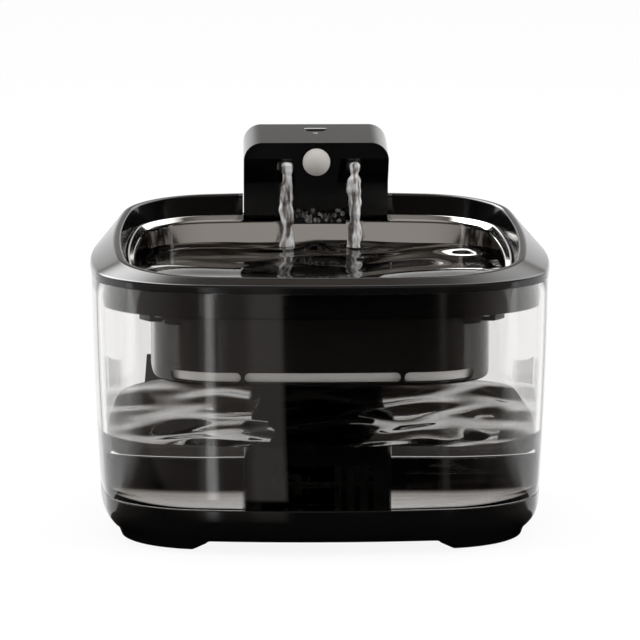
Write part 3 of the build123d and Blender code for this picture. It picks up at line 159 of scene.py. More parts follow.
class FountainColours(bpy.types.PropertyGroup):
    """Colours of the finishes."""
    plastic: FloatVectorProperty(name="Black plastic", description="Colour of the moulded shells",
                                 default=(0.0028, 0.0026, 0.0025), subtype="COLOR", size=3)
    tub: FloatVectorProperty(name="Tub plastic", description="Colour of the filter tub",
                             default=(0.012, 0.0105, 0.0095), subtype="COLOR", size=3)
    steel: FloatVectorProperty(name="Steel", description="Colour of the bowl",
                               default=(0.55, 0.535, 0.515), subtype="COLOR", size=3)
    lens: FloatVectorProperty(name="Lens", description="Colour of the milky sensor lens",
                              default=(0.56, 0.53, 0.50), subtype="COLOR", size=3)


# ---------------------------------------------------------------- rings and meshes
def ring(outline, z, inset=0.0, slope=0.0):
    """A rounded square as one vector: half width, corner, side radius, height, slope."""
    return np.array([outline[0] - inset, outline[1] - inset, SIDE_RADIUS - inset, z, slope])


def ring_points(vector):
    half, corner, side, z, slope = vector
    reach = side - half
    c = (math.sqrt(2 * (side - corner) ** 2 - reach ** 2) - reach) / 2
    bend = math.atan2(c, c + reach)
    steps = np.arange(ARC_STEPS) / ARC_STEPS
    along = -bend + 2 * bend * steps
    around = bend + (math.pi / 2 - 2 * bend) * steps
    x = np.concatenate([side * np.cos(along) - reach, corner * np.cos(around) + c])
    y = np.concatenate([side * np.sin(along), corner * np.sin(around) + c])
    tilt = math.atan(slope)
    quarters = [(x, y), (-y, x), (-x, -y), (y, -x)]
    flat_x = np.concatenate([q[0] for q in quarters])
    flat_y = np.concatenate([q[1] for q in quarters])
    return np.stack([flat_x, flat_y * math.cos(tilt), z + flat_y * math.sin(tilt)], axis=1)


def ring_gap(a, b):
    return math.hypot(a[0] - b[0], a[3] - b[3]) or 1.0


def linked(name, data):
    """New object in the scene."""
    obj = bpy.data.objects.new(name, data)
    bpy.context.scene.collection.objects.link(obj)
    return obj


def shade(mesh):
    mesh.shade_smooth()
    mesh.set_sharp_from_angle(angle=SMOOTH_ANGLE)


def soften(profile, closed=False):
    """Round the corners of a profile given as (ring, radius) pairs."""
    count = len(profile)
    result = []
    for index, (here, radius) in enumerate(profile):
        at_end = not closed and index in (0, count - 1)
        if radius == 0 or at_end:
            result.append(here)
            continue
        before = profile[index - 1][0]
        after = profile[(index + 1) % count][0]
        start = here + (before - here) * min(radius / ring_gap(before, here), 0.48)
        end = here + (after - here) * min(radius / ring_gap(after, here), 0.48)
        for t in BEND:
            result.append(start * (1 - t) ** 2 + here * 2 * t * (1 - t) + end * t ** 2)
    return result


def new_object(name, vertices, faces):
    """Mesh object from millimetre coordinates, with outward faces."""
    mesh = bpy.data.meshes.new(name)
    mesh.from_pydata((np.asarray(vertices) * MM).tolist(), [], faces)
    work = bmesh.new()
    work.from_mesh(mesh)
    bmesh.ops.recalc_face_normals(work, faces=work.faces)
    work.to_mesh(mesh)
    work.free()
    shade(mesh)
    return linked(name, mesh)


def skin(name, loops, closed=False):
    """Surface through equal loops of points: capped at both ends, or joined into a ring."""
    count = len(loops[0])
    vertices = np.concatenate(loops)
    faces = []
    rows = len(loops)
    for row in range(rows if closed else rows - 1):
        low = row * count
        high = (row + 1) % rows * count
        for k in range(count):
            after = (k + 1) % count
            faces.append((low + k, low + after, high + after, high + k))
    if not closed:
        faces.append(tuple(range(count))[::-1])
        faces.append(tuple(range((rows - 1) * count, rows * count)))
    return new_object(name, vertices, faces)


def ring_loops(profile, closed=False):
    return [ring_points(r) for r in soften(profile, closed)]


def loft(name, profile, closed=False):
    """Surface through the rings of a profile, with its corners rounded."""
    return skin(name, ring_loops(profile, closed), closed)


def block(name, x, y, z):
    """Box from three (low, high) pairs in millimetres."""
    corners = [(a, b, c) for c in z for b in y for a in x]
    faces = [(0, 2, 3, 1), (4, 5, 7, 6), (0, 1, 5, 4), (2, 6, 7, 3), (0, 4, 6, 2), (1, 3, 7, 5)]
    return new_object(name, corners, faces)


def prism(name, outline, low, high, axis="Z"):
    """Straight prism over a flat outline, along Z or along Y."""
    loops = [np.array([(u, v, level) if axis == "Z" else (u, level, v) for u, v in outline])
             for level in (low, high)]
    return skin(name, loops)


def arc(centre, radius, start, end, steps=12):
    """Points along an arc, angles in degrees."""
    angles = np.radians(np.linspace(start, end, steps + 1))
    return [(centre[0] + radius * math.cos(a), centre[1] + radius * math.sin(a)) for a in angles]


def pill_outline(middle, length, height):
    x, z = middle
    steps = 10
    reach = (length - height) / 2
    radius = height / 2
    return arc((x + reach, z), radius, -90, 90, steps) + arc((x - reach, z), radius, 90, 270, steps)


def lathe(name, profile, centre, axis="Z", steps=64, closed=False):
    """Turned body from (radius, distance) pairs, which start and end near the axis unless closed."""
    angles = np.arange(steps) * 2 * math.pi / steps
    loops = []
    for radius, along in profile:
        u = radius * np.cos(angles)
        v = radius * np.sin(angles)
        w = np.full(steps, along)
        loops.append(np.stack([u, v, w] if axis == "Z" else [u, w, v], axis=1) + np.array(centre))
    return skin(name, loops, closed)


def evaluated(obj, reshade=True):
    """Replace an object's mesh by its evaluated one and drop its modifiers."""
    graph = bpy.context.evaluated_depsgraph_get()
    mesh = bpy.data.meshes.new_from_object(obj.evaluated_get(graph))
    obj.modifiers.clear()
    obj.data = mesh
    mesh.name = obj.name
    if reshade:
        shade(mesh)
    return obj


def combine(obj, tools, operation="DIFFERENCE"):
    """Cut the tools out of an object, or add them to it, and remove them."""
    for tool in tools:
        step = obj.modifiers.new("shape", "BOOLEAN")
        step.object = tool
        step.operation = operation
        step.solver = "EXACT"
    evaluated(obj)
    for tool in tools:
        bpy.data.objects.remove(tool)
    return obj


def joined(name, objects):
    """One object from several that share a material."""
    work = bmesh.new()
    for obj in objects:
        work.from_mesh(obj.data)
    mesh = bpy.data.meshes.new(name)
    work.to_mesh(mesh)
    work.free()
    for obj in objects:
        bpy.data.objects.remove(obj)
    shade(mesh)
    return linked(name, mesh)


def bevelled_copy(node, name, width, segments=3):
    """Merged copy of a construction piece with rounded edges."""
    mesh = frame["nodes"][node].data.copy()
    work = bmesh.new()
    work.from_mesh(mesh)
    bmesh.ops.remove_doubles(work, verts=work.verts, dist=MERGE)
    bmesh.ops.dissolve_limit(work, angle_limit=FLAT_ANGLE, verts=work.verts, edges=work.edges)
    work.to_mesh(mesh)
    work.free()
    obj = linked(name, mesh)
    bevel = obj.modifiers.new("edges", "BEVEL")
    bevel.width = width
    bevel.segments = segments
    bevel.limit_method = "ANGLE"
    bevel.angle_limit = EDGE_ANGLE
    bevel.miter_outer = "MITER_ARC"
    return evaluated(obj)


def even_normals(obj):
    """Let the large faces set the shading, so that rounded edges stay crisp beside flats."""
    step = obj.modifiers.new("normals", "WEIGHTED_NORMAL")
    step.keep_sharp = True
    step.weight = 70
    evaluated(obj, reshade=False)


def place(obj, body, slot, *nodes):
    """Give a piece its finish and its body, and hide the construction nodes it stands for."""
    if slot != "clear_plastic":
        even_normals(obj)
    obj.data.materials.clear()
    obj.data.materials.append(finish(slot))
    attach(obj, body)
    if nodes:
        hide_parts(*nodes)
    return obj


# ---------------------------------------------------------------- nodes
def fill(tree, node, sockets):
    """Set inputs of a node: an output is linked, anything else is stored as the value."""
    for key, value in sockets.items():
        if isinstance(value, bpy.types.NodeSocket):
            tree.links.new(value, node.inputs[key])
        else:
            node.inputs[key].default_value = value
    return node


def add_node(tree, kind, sockets=None, **settings):
    node = tree.nodes.new(kind)
    for key, value in settings.items():
        setattr(node, key, value)
    return fill(tree, node, sockets or {})


def calculated(tree, operation, *values, **settings):
    """Result of a math node over numbers and outputs."""
    node = add_node(tree, "ShaderNodeMath", dict(enumerate(values)), operation=operation, **settings)
    return node.outputs["Value"]


def vector_math(tree, operation, first, second, result="Vector"):
    node = add_node(tree, "ShaderNodeVectorMath", {0: first, 1: second}, operation=operation)
    return node.outputs[result]


def blended(tree, factor, first, second, **settings):
    """Mix of two colours."""
    sockets = {"Factor": factor, "A": first, "B": second}
    return add_node(tree, "ShaderNodeMix", sockets, data_type="RGBA", **settings).outputs["Result"]


def object_place(tree):
    return tree.nodes.new("ShaderNodeTexCoord").outputs["Object"]


def noise(tree, place_at, scale, detail=3.0, roughness=0.5):
    sockets = {"Vector": place_at, "Scale": scale, "Detail": detail, "Roughness": roughness}
    return add_node(tree, "ShaderNodeTexNoise", sockets).outputs["Fac"]


def remap(tree, source, low, high, new_low, new_high):
    sockets = {"Value": source, "From Min": low, "From Max": high, "To Min": new_low, "To Max": new_high}
    return add_node(tree, "ShaderNodeMapRange", sockets).outputs["Result"]


def grey_ramp(tree, value, stops):
    """Colour ramp from (position, brightness) pairs; the darker greys are a little warm."""
    ramp = tree.nodes.new("ShaderNodeValToRGB")
    points = ramp.color_ramp.elements
    while len(points) < len(stops):
        points.new(0.5)
    for point, (position, level) in zip(points, stops):
        point.position = position
        point.color = (level, min(level, level ** 1.06), min(level, level ** 1.11), 1.0)
    tree.links.new(value, ramp.inputs["Fac"])
    return ramp.outputs["Color"]


def kept_group(name, build):
    """The node group of a name, built when it is first asked for."""
    return bpy.data.node_groups.get(name) or build(name)


# ---------------------------------------------------------------- shader groups
def shader_group(name, inputs, outputs):
    """Empty group; an input's kind follows from its default, and only "Colour" puts out a colour."""
    tree = bpy.data.node_groups.new(name, "ShaderNodeTree")
    for label, value in inputs:
        kind = "NodeSocketColor" if isinstance(value, tuple) else "NodeSocketFloat"
        tree.interface.new_socket(name=label, in_out="INPUT", socket_type=kind).default_value = value
    for label in outputs:
        kind = "NodeSocketColor" if label == "Colour" else "NodeSocketFloat"
        tree.interface.new_socket(name=label, in_out="OUTPUT", socket_type=kind)
    return tree, tree.nodes.new("NodeGroupInput").outputs, tree.nodes.new("NodeGroupOutput")


def moulded_surface(name):
    """Fine moulding grain and slow gloss changes of a moulded plastic."""
    tree, start, end = shader_group(
        name, [("Colour", (0.1, 0.1, 0.1, 1.0)), ("Grain size", 900.0), ("Gloss low", 0.25),
               ("Gloss high", 0.4)], ("Colour", "Roughness", "Height"))
    place_at = object_place(tree)
    cloud = noise(tree, place_at, 22.0)
    level = remap(tree, cloud, *NOISE_SPAN, 0.8, 1.0)
    tone = add_node(tree, "ShaderNodeCombineColor", {"Red": level, "Green": level, "Blue": level})
    fill(tree, end, {
        "Colour": blended(tree, 0.25, start["Colour"], tone.outputs["Color"], blend_type="MULTIPLY"),
        "Roughness": remap(tree, cloud, *NOISE_SPAN, start["Gloss low"], start["Gloss high"]),
        "Height": noise(tree, place_at, start["Grain size"], 4.0)})
    return tree


def drawn_metal(name):
    """Fine lines of drawn and brushed sheet, along X."""
    tree, start, end = shader_group(name, [("Gloss low", 0.2), ("Gloss high", 0.34), ("Stretch", 0.02)],
                                    ("Roughness", "Height"))
    scale = add_node(tree, "ShaderNodeCombineXYZ", {"X": start["Stretch"], "Y": 1.0, "Z": 1.0})
    drawn = vector_math(tree, "MULTIPLY", object_place(tree), scale.outputs["Vector"])
    lines = noise(tree, drawn, 2400.0, 3.0, 0.6)
    fill(tree, end, {"Roughness": remap(tree, lines, *NOISE_SPAN, start["Gloss low"], start["Gloss high"]),
                     "Height": lines})
    return tree


def granules(name):
    """Cells for foam, carbon granules and fibre: a colour mask and a height."""
    tree, start, end = shader_group(name, [("Size", 400.0)], ("Mask", "Height"))
    place_at = object_place(tree)
    cells = add_node(tree, "ShaderNodeTexVoronoi", {"Vector": place_at, "Scale": start["Size"]})
    fill(tree, end, {"Mask": noise(tree, place_at, 300.0, 5.0), "Height": cells.outputs["Distance"]})
    return tree


# ---------------------------------------------------------------- materials
def new_material(name):
    material = bpy.data.materials.new(name)
    material.use_nodes = True
    nodes = material.node_tree.nodes
    return material, material.node_tree, nodes["Principled BSDF"], nodes["Material Output"]


def group_node(tree, name, build, **values):
    """Outputs of a kept group that is placed in a material with its own values."""
    sockets = {key.replace("_", " "): value for key, value in values.items()}
    return add_node(tree, "ShaderNodeGroup", sockets, node_tree=kept_group(name, build)).outputs


def relief(tree, height, strength, depth):
    """Normal of a fine relief."""
    bump = add_node(tree, "ShaderNodeBump", {"Strength": strength, "Distance": depth, "Height": height})
    return bump.outputs["Normal"]


def mix_surface(tree, output, factor, first, second):
    """Let a material turn from one shader to another as the factor rises."""
    mix = add_node(tree, "ShaderNodeMixShader", {"Fac": factor, 1: first, 2: second})
    fill(tree, output, {"Surface": mix.outputs["Shader"]})


def plastic(name, colour, gloss, grain=900.0, bump=0.06):
    material, tree, shader, _ = new_material(name)
    surface = group_node(tree, "Moulded surface", moulded_surface, Colour=(*colour, 1.0), Grain_size=grain,
                         Gloss_low=gloss[0], Gloss_high=gloss[1])
    fill(tree, shader, {"Base Color": surface["Colour"], "Roughness": surface["Roughness"],
                        "Normal": relief(tree, surface["Height"], bump, FINE_DEPTH)})
    return material


def metal(name, colour, gloss, stretch=0.02):
    material, tree, shader, _ = new_material(name)
    surface = group_node(tree, "Drawn metal", drawn_metal, Gloss_low=gloss[0], Gloss_high=gloss[1],
                         Stretch=stretch)
    fill(tree, shader, {"Base Color": (*colour, 1.0), "Metallic": 1.0, "Roughness": surface["Roughness"],
                        "Normal": relief(tree, surface["Height"], 0.05, FINE_DEPTH)})
    return material


def grainy(name, dark, light, size, bump):
    material, tree, shader, _ = new_material(name)
    surface = group_node(tree, "Granules", granules, Size=size)
    fill(tree, shader, {"Base Color": blended(tree, surface["Mask"], (*dark, 1.0), (*light, 1.0)),
                        "Roughness": 0.9, "Normal": relief(tree, surface["Height"], bump, GRAIN_DEPTH)})
    return material


def clear(name, ior, tint, roughness=0.0, through=1.0):
    """Clear plastic or water: light passes straight through to what lies in its shadow."""
    material, tree, shader, output = new_material(name)
    fill(tree, shader, {"Base Color": (*tint, 1.0), "Transmission Weight": through, "IOR": ior,
                        "Roughness": roughness})
    straight = add_node(tree, "ShaderNodeBsdfTransparent")
    shadow = add_node(tree, "ShaderNodeLightPath").outputs["Is Shadow Ray"]
    mix_surface(tree, output, shadow, shader.outputs["BSDF"], straight.outputs["BSDF"])
    return material


def falling_water(name):
    """Water in free fall under a wet skin, with long grey and white streaks in its colour: painted highlights
    that stand in for its glints.
    """
    material = clear(name, 1.45, (0.9, 0.9, 0.9), 0.03, 0.3)
    tree = material.node_tree
    stretch = add_node(tree, "ShaderNodeMapping", {"Vector": object_place(tree), "Scale": (1.0, 1.0, 0.2)})
    # Painted highlights: grey and white streaks in the base colour of the clear water.
    glint_streaks = noise(tree, stretch.outputs["Vector"], 380.0, 2.0)
    fill(tree, tree.nodes["Principled BSDF"], {
        "Base Color": grey_ramp(tree, glint_streaks, ((0.36, 0.08), (0.47, 0.4), (0.56, 0.95))),
        "Coat Weight": 1.0, "Coat Roughness": 0.02})
    return material


def milky(name, colour):
    """Milky plastic that light enters a little way."""
    material = plastic(name, colour, (0.3, 0.4), 1500.0, 0.02)
    tree = material.node_tree
    fill(tree, tree.nodes["Principled BSDF"], {
        "Subsurface Weight": 0.35, "Subsurface Radius": (0.002, 0.0018, 0.0016), "Subsurface Scale": 1.0})
    return material


def finish(slot):
    """The material of a slot, made once."""
    name = "slot " + slot
    if name in bpy.data.materials:
        return bpy.data.materials[name]
    colours = bpy.context.scene.fountain_colours
    make, *values = {
        "black_abs": (plastic, colours.plastic, (0.09, 0.14)),
        "clear_plastic": (clear, 1.49, (0.91, 0.903, 0.895)),
        "water": (clear, 1.333, (0.985, 0.99, 0.99)),
        "stream": (falling_water,),
        "steel": (metal, colours.steel, (0.06, 0.11)),
        "tub_plastic": (plastic, colours.tub, (0.1, 0.16)),
        "white_plastic": (plastic, (0.9, 0.88, 0.85), (0.4, 0.5)),
        "lens_white": (milky, colours.lens),
        "cotton": (grainy, (0.82, 0.8, 0.77), (0.95, 0.93, 0.9), 900.0, 0.3),
        "carbon": (grainy, (0.008, 0.008, 0.009), (0.05, 0.05, 0.052), 450.0, 1.0),
        "sponge": (grainy, (0.02, 0.02, 0.022), (0.07, 0.07, 0.075), 700.0, 1.0),
        "rubber": (plastic, (0.012, 0.012, 0.012), (0.6, 0.75), 1400.0, 0.2),
        "board": (plastic, (0.012, 0.11, 0.045), (0.35, 0.5), 300.0, 0.3),
        "part_grey": (plastic, (0.2, 0.21, 0.225), (0.35, 0.48)),
        "battery_wrap": (plastic, (0.03, 0.09, 0.35), (0.18, 0.3), 120.0, 0.25),
        "screw_steel": (metal, (0.5, 0.5, 0.51), (0.25, 0.4), 0.5),
        "contact_brass": (metal, (0.8, 0.58, 0.24), (0.15, 0.28), 0.5),
        "magnet": (plastic, (0.03, 0.03, 0.033), (0.45, 0.6), 500.0, 0.3),
    }[slot]
    return make(name, *values)


# ---------------------------------------------------------------- geometry node trees
def geometry_tree(name, inputs):
    """Empty modifier tree with named inputs and a material."""
    tree = bpy.data.node_groups.new(name, "GeometryNodeTree")
    tree.is_modifier = True
    tree.interface.new_socket(name="Geometry", in_out="OUTPUT", socket_type="NodeSocketGeometry")
    for label, kind in [("Geometry", "Geometry"), *inputs, ("Material", "Material")]:
        tree.interface.new_socket(name=label, in_out="INPUT", socket_type="NodeSocket" + kind)
    return tree, tree.nodes.new("NodeGroupInput").outputs


def put_copies(tree, start, points, piece):
    """End a tree: copies of a piece on points, made real and given the material."""
    copies = add_node(tree, "GeometryNodeInstanceOnPoints", {"Points": points, "Instance": piece})
    real = add_node(tree, "GeometryNodeRealizeInstances", {"Geometry": copies.outputs["Instances"]})
    paint = add_node(tree, "GeometryNodeSetMaterial", {"Geometry": real.outputs["Geometry"],
                                                       "Material": start["Material"]})
    add_node(tree, "NodeGroupOutput", {"Geometry": paint.outputs["Geometry"]})
    return tree


def bar_row(name):
    """A row of equal bars from a start point, one step apart."""
    tree, start = geometry_tree(name, [("Count", "Int"), ("Start", "Vector"), ("Step", "Vector"),
                                       ("Size", "Vector")])
    line = add_node(tree, "GeometryNodeMeshLine", {
        "Count": start["Count"], "Start Location": start["Start"], "Offset": start["Step"]}, mode="OFFSET")
    bar = add_node(tree, "GeometryNodeMeshCube", {"Size": start["Size"]})
    return put_copies(tree, start, line.outputs["Mesh"], bar.outputs["Mesh"])


def screw_set(name):
    """A pan-head screw standing on each point of the host mesh."""
    tree, start = geometry_tree(name, [("Head radius", "Float"), ("Head height", "Float"),
                                       ("Shank radius", "Float"), ("Length", "Float")])

    def cylinder(radius, depth, sides, shift):
        """Cylinder moved along Z by a share of its depth."""
        body = add_node(tree, "GeometryNodeMeshCylinder", {
            "Vertices": sides, "Radius": radius, "Depth": depth})
        lift = add_node(tree, "ShaderNodeCombineXYZ", {"Z": calculated(tree, "MULTIPLY", depth, shift)})
        return add_node(tree, "GeometryNodeTransform", {
            "Geometry": body.outputs["Mesh"], "Translation": lift.outputs["Vector"]}).outputs["Geometry"]

    wide, high = start["Head radius"], start["Head height"]
    dig = add_node(tree, "GeometryNodeMeshBoolean", {
        "Mesh 1": cylinder(wide, high, 32, -0.5),
        "Mesh 2": cylinder(calculated(tree, "MULTIPLY", wide, 0.45), high, 6, -1.0)}, operation="DIFFERENCE")
    both = add_node(tree, "GeometryNodeJoinGeometry", {
        "Geometry": cylinder(start["Shank radius"], start["Length"], 24, 0.5)})
    fill(tree, both, {"Geometry": dig.outputs["Mesh"]})
    return put_copies(tree, start, start["Geometry"], both.outputs["Geometry"])


def run_tree(name, group, build, points=(), **values):
    """Plain mesh from a geometry tree: inputs are set by identifier, then the modifier is dropped."""
    mesh = bpy.data.meshes.new(name)
    mesh.from_pydata([tuple(Vector(p) * MM) for p in points], [], [])
    obj = linked(name, mesh)
    step = obj.modifiers.new("pattern", "NODES")
    step.node_group = kept_group(group, build)
    for item in step.node_group.interface.items_tree:
        key = item.name.replace(" ", "_")
        if item.in_out == "INPUT" and key in values:
            step[item.identifier] = values[key]
    return evaluated(obj)


# ---------------------------------------------------------------- base
def base_arch():
    """Cross-section of the tunnel between two feet, with rounded shoulders."""
    low, top, height, bend = 59.5, 52.5, 5.0, 2.4
    right = [(low + 2.0, -1.0), (low, 0.2)] + arc((top - bend, height - bend), bend, 35, 90, 8)
    left = [(-u, v) for u, v in reversed(right)]
    return right + left


def build_base():
    profile = [(ring(BASE, 0.8, 8.2), 0), (ring(BASE, 1.2, 7.4), 0.5), (ring(BASE, 4.8, 6.2), 1.6),
               (ring(BASE, 6.6, 3.8), 2.6), (ring(BASE, 11.0, 0.4), 4.0), (ring(BASE, BASE_TOP, 0.0), 0.5),
               (ring(BASE, BASE_TOP, 2.2), 0.5), (ring(BASE, TANK_UNDER, 2.2 + SPIGOT_TAPER), 0.4),
               (ring(BASE, TANK_UNDER, 16.0), 0.3), (ring(BASE, TANK_UNDER - 2.0, 16.2), 0.3),
               (ring(BASE, TANK_UNDER - 2.0, 18.0), 0)]
    shell = loft("base_moulding", profile)
    across, along = (prism("cut", base_arch(), -PAST_ALL, PAST_ALL, axis="Y") for _ in range(2))
    along.data.transform(Matrix.Rotation(math.pi / 2, 4, "Z"))
    pockets = [lathe("cut", [(8.1, -1.0), (8.1, 2.0)], place_at, steps=48) for place_at in PAD_PLACES]
    combine(shell, [across, along] + pockets)
    place(shell, "stand", "black_abs", "base_shell")


def build_pads():
    """Rubber pads with two shallow grooves in the face that meets the floor."""
    profile = [(0.01, 0.0), (2.6, 0.0), (2.8, 0.3), (3.4, 0.3), (3.6, 0.0), (5.2, 0.0), (5.4, 0.3),
               (6.0, 0.3), (6.2, 0.0), (7.6, 0.0), (8.0, 0.4), (8.0, 2.0), (0.01, 2.0)]
    pads = [lathe("pad", profile, place_at) for place_at in PAD_PLACES]
    place(joined("floor_pads", pads), "stand", "rubber", "foot_pads")


# ---------------------------------------------------------------- tank
def tank_ring(z, inset):
    """The tank's outline at a height, moved in by inset."""
    share = (z - BASE_TOP) / (TANK_TOP - BASE_TOP)
    swell = TANK_SWELL * (1 - (1 - share) ** SWELL_BEND)
    return ring((BASE[0] + swell, BASE[1] + swell * TANK_CORNER_SWELL), z, inset)


def tank_inside(grow, top):
    """Rings of the tank's inner face from the floor up to a height, moved outwards by grow."""
    wall = 1.6 - grow
    floor = TANK_FLOOR - grow
    lower = [(ring(BASE, floor, TANK_SIDE + wall + SPIGOT_TAPER + 4.0), 0),
             (ring(BASE, floor, TANK_SIDE + wall + SPIGOT_TAPER * 0.7), 2.6),
             (ring(BASE, BASE_TOP, TANK_SIDE + wall), 1.2)]
    heights = np.linspace(BASE_TOP + 4.0, top, 14)
    upper = [(tank_ring(z, TANK_WALL - grow), 1.2 if k == 0 else 0) for k, z in enumerate(heights)]
    return lower + upper


def build_tank():
    seam = BASE_TOP + 0.05
    top = TANK_TOP - 0.02
    foot = [(ring(BASE, TANK_UNDER, TANK_SIDE + SPIGOT_TAPER + 3.0), 0),
            (ring(BASE, TANK_UNDER, TANK_SIDE + SPIGOT_TAPER * 0.8), 2.6),
            (ring(BASE, seam, TANK_SIDE), 0.2), (tank_ring(seam, 0.2), 0.2)]
    walls = [(tank_ring(z, 0.0), 0) for z in np.linspace(BASE_TOP + 0.4, top, 20)]
    inner = list(reversed(tank_inside(0.0, top)))
    for edge, end in ((walls, -1), (inner, 0)):
        edge[end] = (edge[end][0], 0.4)
    vessel = loft("clear_tank", foot + walls + inner)
    place(vessel, "stand", "clear_plastic", "tank")


# ---------------------------------------------------------------- rim
def rim_rings():
    inner = FLANGE_WIDTH - SEAT_GAP
    deep = FLANGE_WIDTH + SEAT_GAP
    seat = TRAY_SHEET + SEAT_GAP
    back = LIP_IN + LIP_WALL
    roof = 119.2               # underside of the ledge that the tray's flange lies on
    return [(ring(RIM, TANK_TOP, 0.0), 0.5), (ring(RIM, BAND_TOP, 0.0), 1.1),
            (ring(RIDGE, RIDGE_Z, 0.0, RIDGE_SLOPE), 1.0),
            (ring(RIDGE, RIDGE_Z, CREST_WIDTH, RIDGE_SLOPE), 0.9),
            (ring(TRAY, TRAY_Z - seat, -SEAT_GAP, TRAY_SLOPE), 0.3),
            (ring(TRAY, TRAY_Z - TRAY_SHEET - deep, deep - 0.6, TRAY_SLOPE), 0.3),
            (ring(TRAY, SKIRT_END, inner), 0.3), (ring(TRAY, SKIRT_END, inner - 2.0), 0.5),
            (ring(TRAY, roof, inner - 2.0), 0.3), (ring(TRAY, roof, FLANGE_WIDTH - 4.4), 0.3),
            (ring(RIDGE, RIDGE_Z - 5.0, CREST_WIDTH / 2, RIDGE_SLOPE), 0.4),
            (ring(RIM, BAND_TOP, back), 0.3), (ring(RIM, LIP_LOW, back), 0.4),
            (ring(RIM, LIP_LOW, LIP_IN), 0.4), (ring(RIM, BAND_TOP - 1.4, LIP_IN), 0.2),
            (ring(RIM, TANK_TOP, 2.4), 0.3)]


def hanger_zone(name):
    """Where the rim carries the tub: two places on each side, and all along the drain."""
    height = (TUB_LOW, TANK_TOP)
    near, far = HANGER_REACH
    bars = []
    for middle in (-HANGER_PLACE, HANGER_PLACE):
        across = (middle - HANGER_HALF, middle + HANGER_HALF)
        for outwards in ((-far, -near), HANGER_REACH):
            bars.append(block(name, outwards, across, height))
            bars.append(block(name, across, outwards, height))
    side = DRAIN_HALF + CHUTE_WALL
    bars.append(block(name, (-side, side), HANGER_REACH, height))
    return bars


def hanging_parts(name, rings):
    """Pieces of a lofted ring that lie in the hangers' zone."""
    return [combine(bar, [loft(name, rings, closed=True)], "INTERSECT") for bar in hanger_zone(name)]


def head_pocket():
    """Room in the back of the rim for the head and the foot under it."""
    half = HEAD_HALF + HEAD_FIT
    return [block("cut", (-half, half), (front - HEAD_FIT, PAST_RIM), (low - HEAD_FIT, PAST_TOP))
            for front, low in ((HEAD_FACE, HEAD_LOW), (PLUG_FRONT, PLUG_LOW))]


def build_rim():
    shell = loft("rim_moulding", rim_rings(), closed=True)
    dome = loft("dome", [(ring(RIM, TANK_TOP, 0.3), 0), (ring(RIM, BAND_TOP, 0.3), 1.1),
                         (ring(RIDGE, RIDGE_Z - 0.3, 0.3, RIDGE_SLOPE), 0)])
    half = HEAD_HALF + CRADLE_WALL
    cradle = block("cradle", (-half, half), (CHUTE_BACK, PAST_RIM), (PLUG_LOW - CRADLE_FLOOR, PAST_TOP))
    combine(cradle, [dome], "INTERSECT")
    side = DRAIN_HALF + CHUTE_WALL
    chute = block("chute", (-side, side), (TRAY[0] - 2.2, CHUTE_BACK + CHUTE_WALL), (SKIRT_LOW + 0.02, 120.0))
    inner = FLANGE_WIDTH - SEAT_GAP
    high, top = SKIRT_LOW + 1.0, SKIRT_END + 1.0
    hangers = hanging_parts("hanger", [
        (ring(TRAY, top, inner), 0), (ring(TRAY, high, inner), 0), (ring(TRAY, high, inner + LEDGE), 0.2),
        (ring(TRAY, SKIRT_LOW, inner + LEDGE), 0.2), (ring(TRAY, SKIRT_LOW, inner - 1.98), 0.5),
        (ring(TRAY, top, inner - 1.98), 0)])
    combine(shell, [cradle, chute] + hangers, "UNION")
    drop = block("cut", (-DRAIN_HALF, DRAIN_HALF), (CHUTE_BACK - 5.25, CHUTE_BACK),
                 (SKIRT_LOW + 1.02, 130.05))
    tip = lathe("cut", [(3.2, 110.0), (3.2, 125.0)], (0.0, RISER_Y, 0.0), steps=48)
    contacts = block("cut", (7.1, 16.9), (RISER_Y - 2.5, RISER_Y + 2.5), (110.0, 125.0))
    combine(shell, head_pocket() + [drop, tip, contacts])
    place(shell, "lid", "black_abs", "lid_rim")


# ---------------------------------------------------------------- tray
def bowl_rings(sheet):
    """Rings of one face of the bowl from the floor to the flange."""
    edge = FLANGE_WIDTH + sheet
    floor = TRAY_FLOOR - TRAY_SHEET + sheet
    return [(ring(TRAY, floor, edge + 14.0), 0), (ring(TRAY, floor + 0.05, edge + 8.4), 3.0),
            (ring(TRAY, 105.2 + sheet / 2, edge + 4.4), 3.2), (ring(TRAY, 109.0, edge + 2.2), 2.6),
            (ring(TRAY, TRAY_Z - 3.2 + sheet, edge, TRAY_SLOPE), 1.0),
            (ring(TRAY, TRAY_Z - TRAY_SHEET + sheet, sheet, TRAY_SLOPE), 0.4)]


def build_tray():
    lip = [(ring(TRAY, TRAY_Z - TRAY_SHEET, 0.0, TRAY_SLOPE), 0.2),
           (ring(TRAY, TRAY_Z, 0.0, TRAY_SLOPE), 0.3)]
    pan = loft("steel_bowl", bowl_rings(0.0)[:-1] + lip + bowl_rings(TRAY_SHEET)[::-1])
    notch = prism("cut", [(-DRAIN_HALF, DRAIN_SILL), (DRAIN_HALF, DRAIN_SILL), (DRAIN_HALF, 150.0),
                          (-DRAIN_HALF, 150.0)], 40.0, 110.0, axis="Y")
    combine(pan, [notch])
    place(pan, "tray", "steel", "steel_tray")


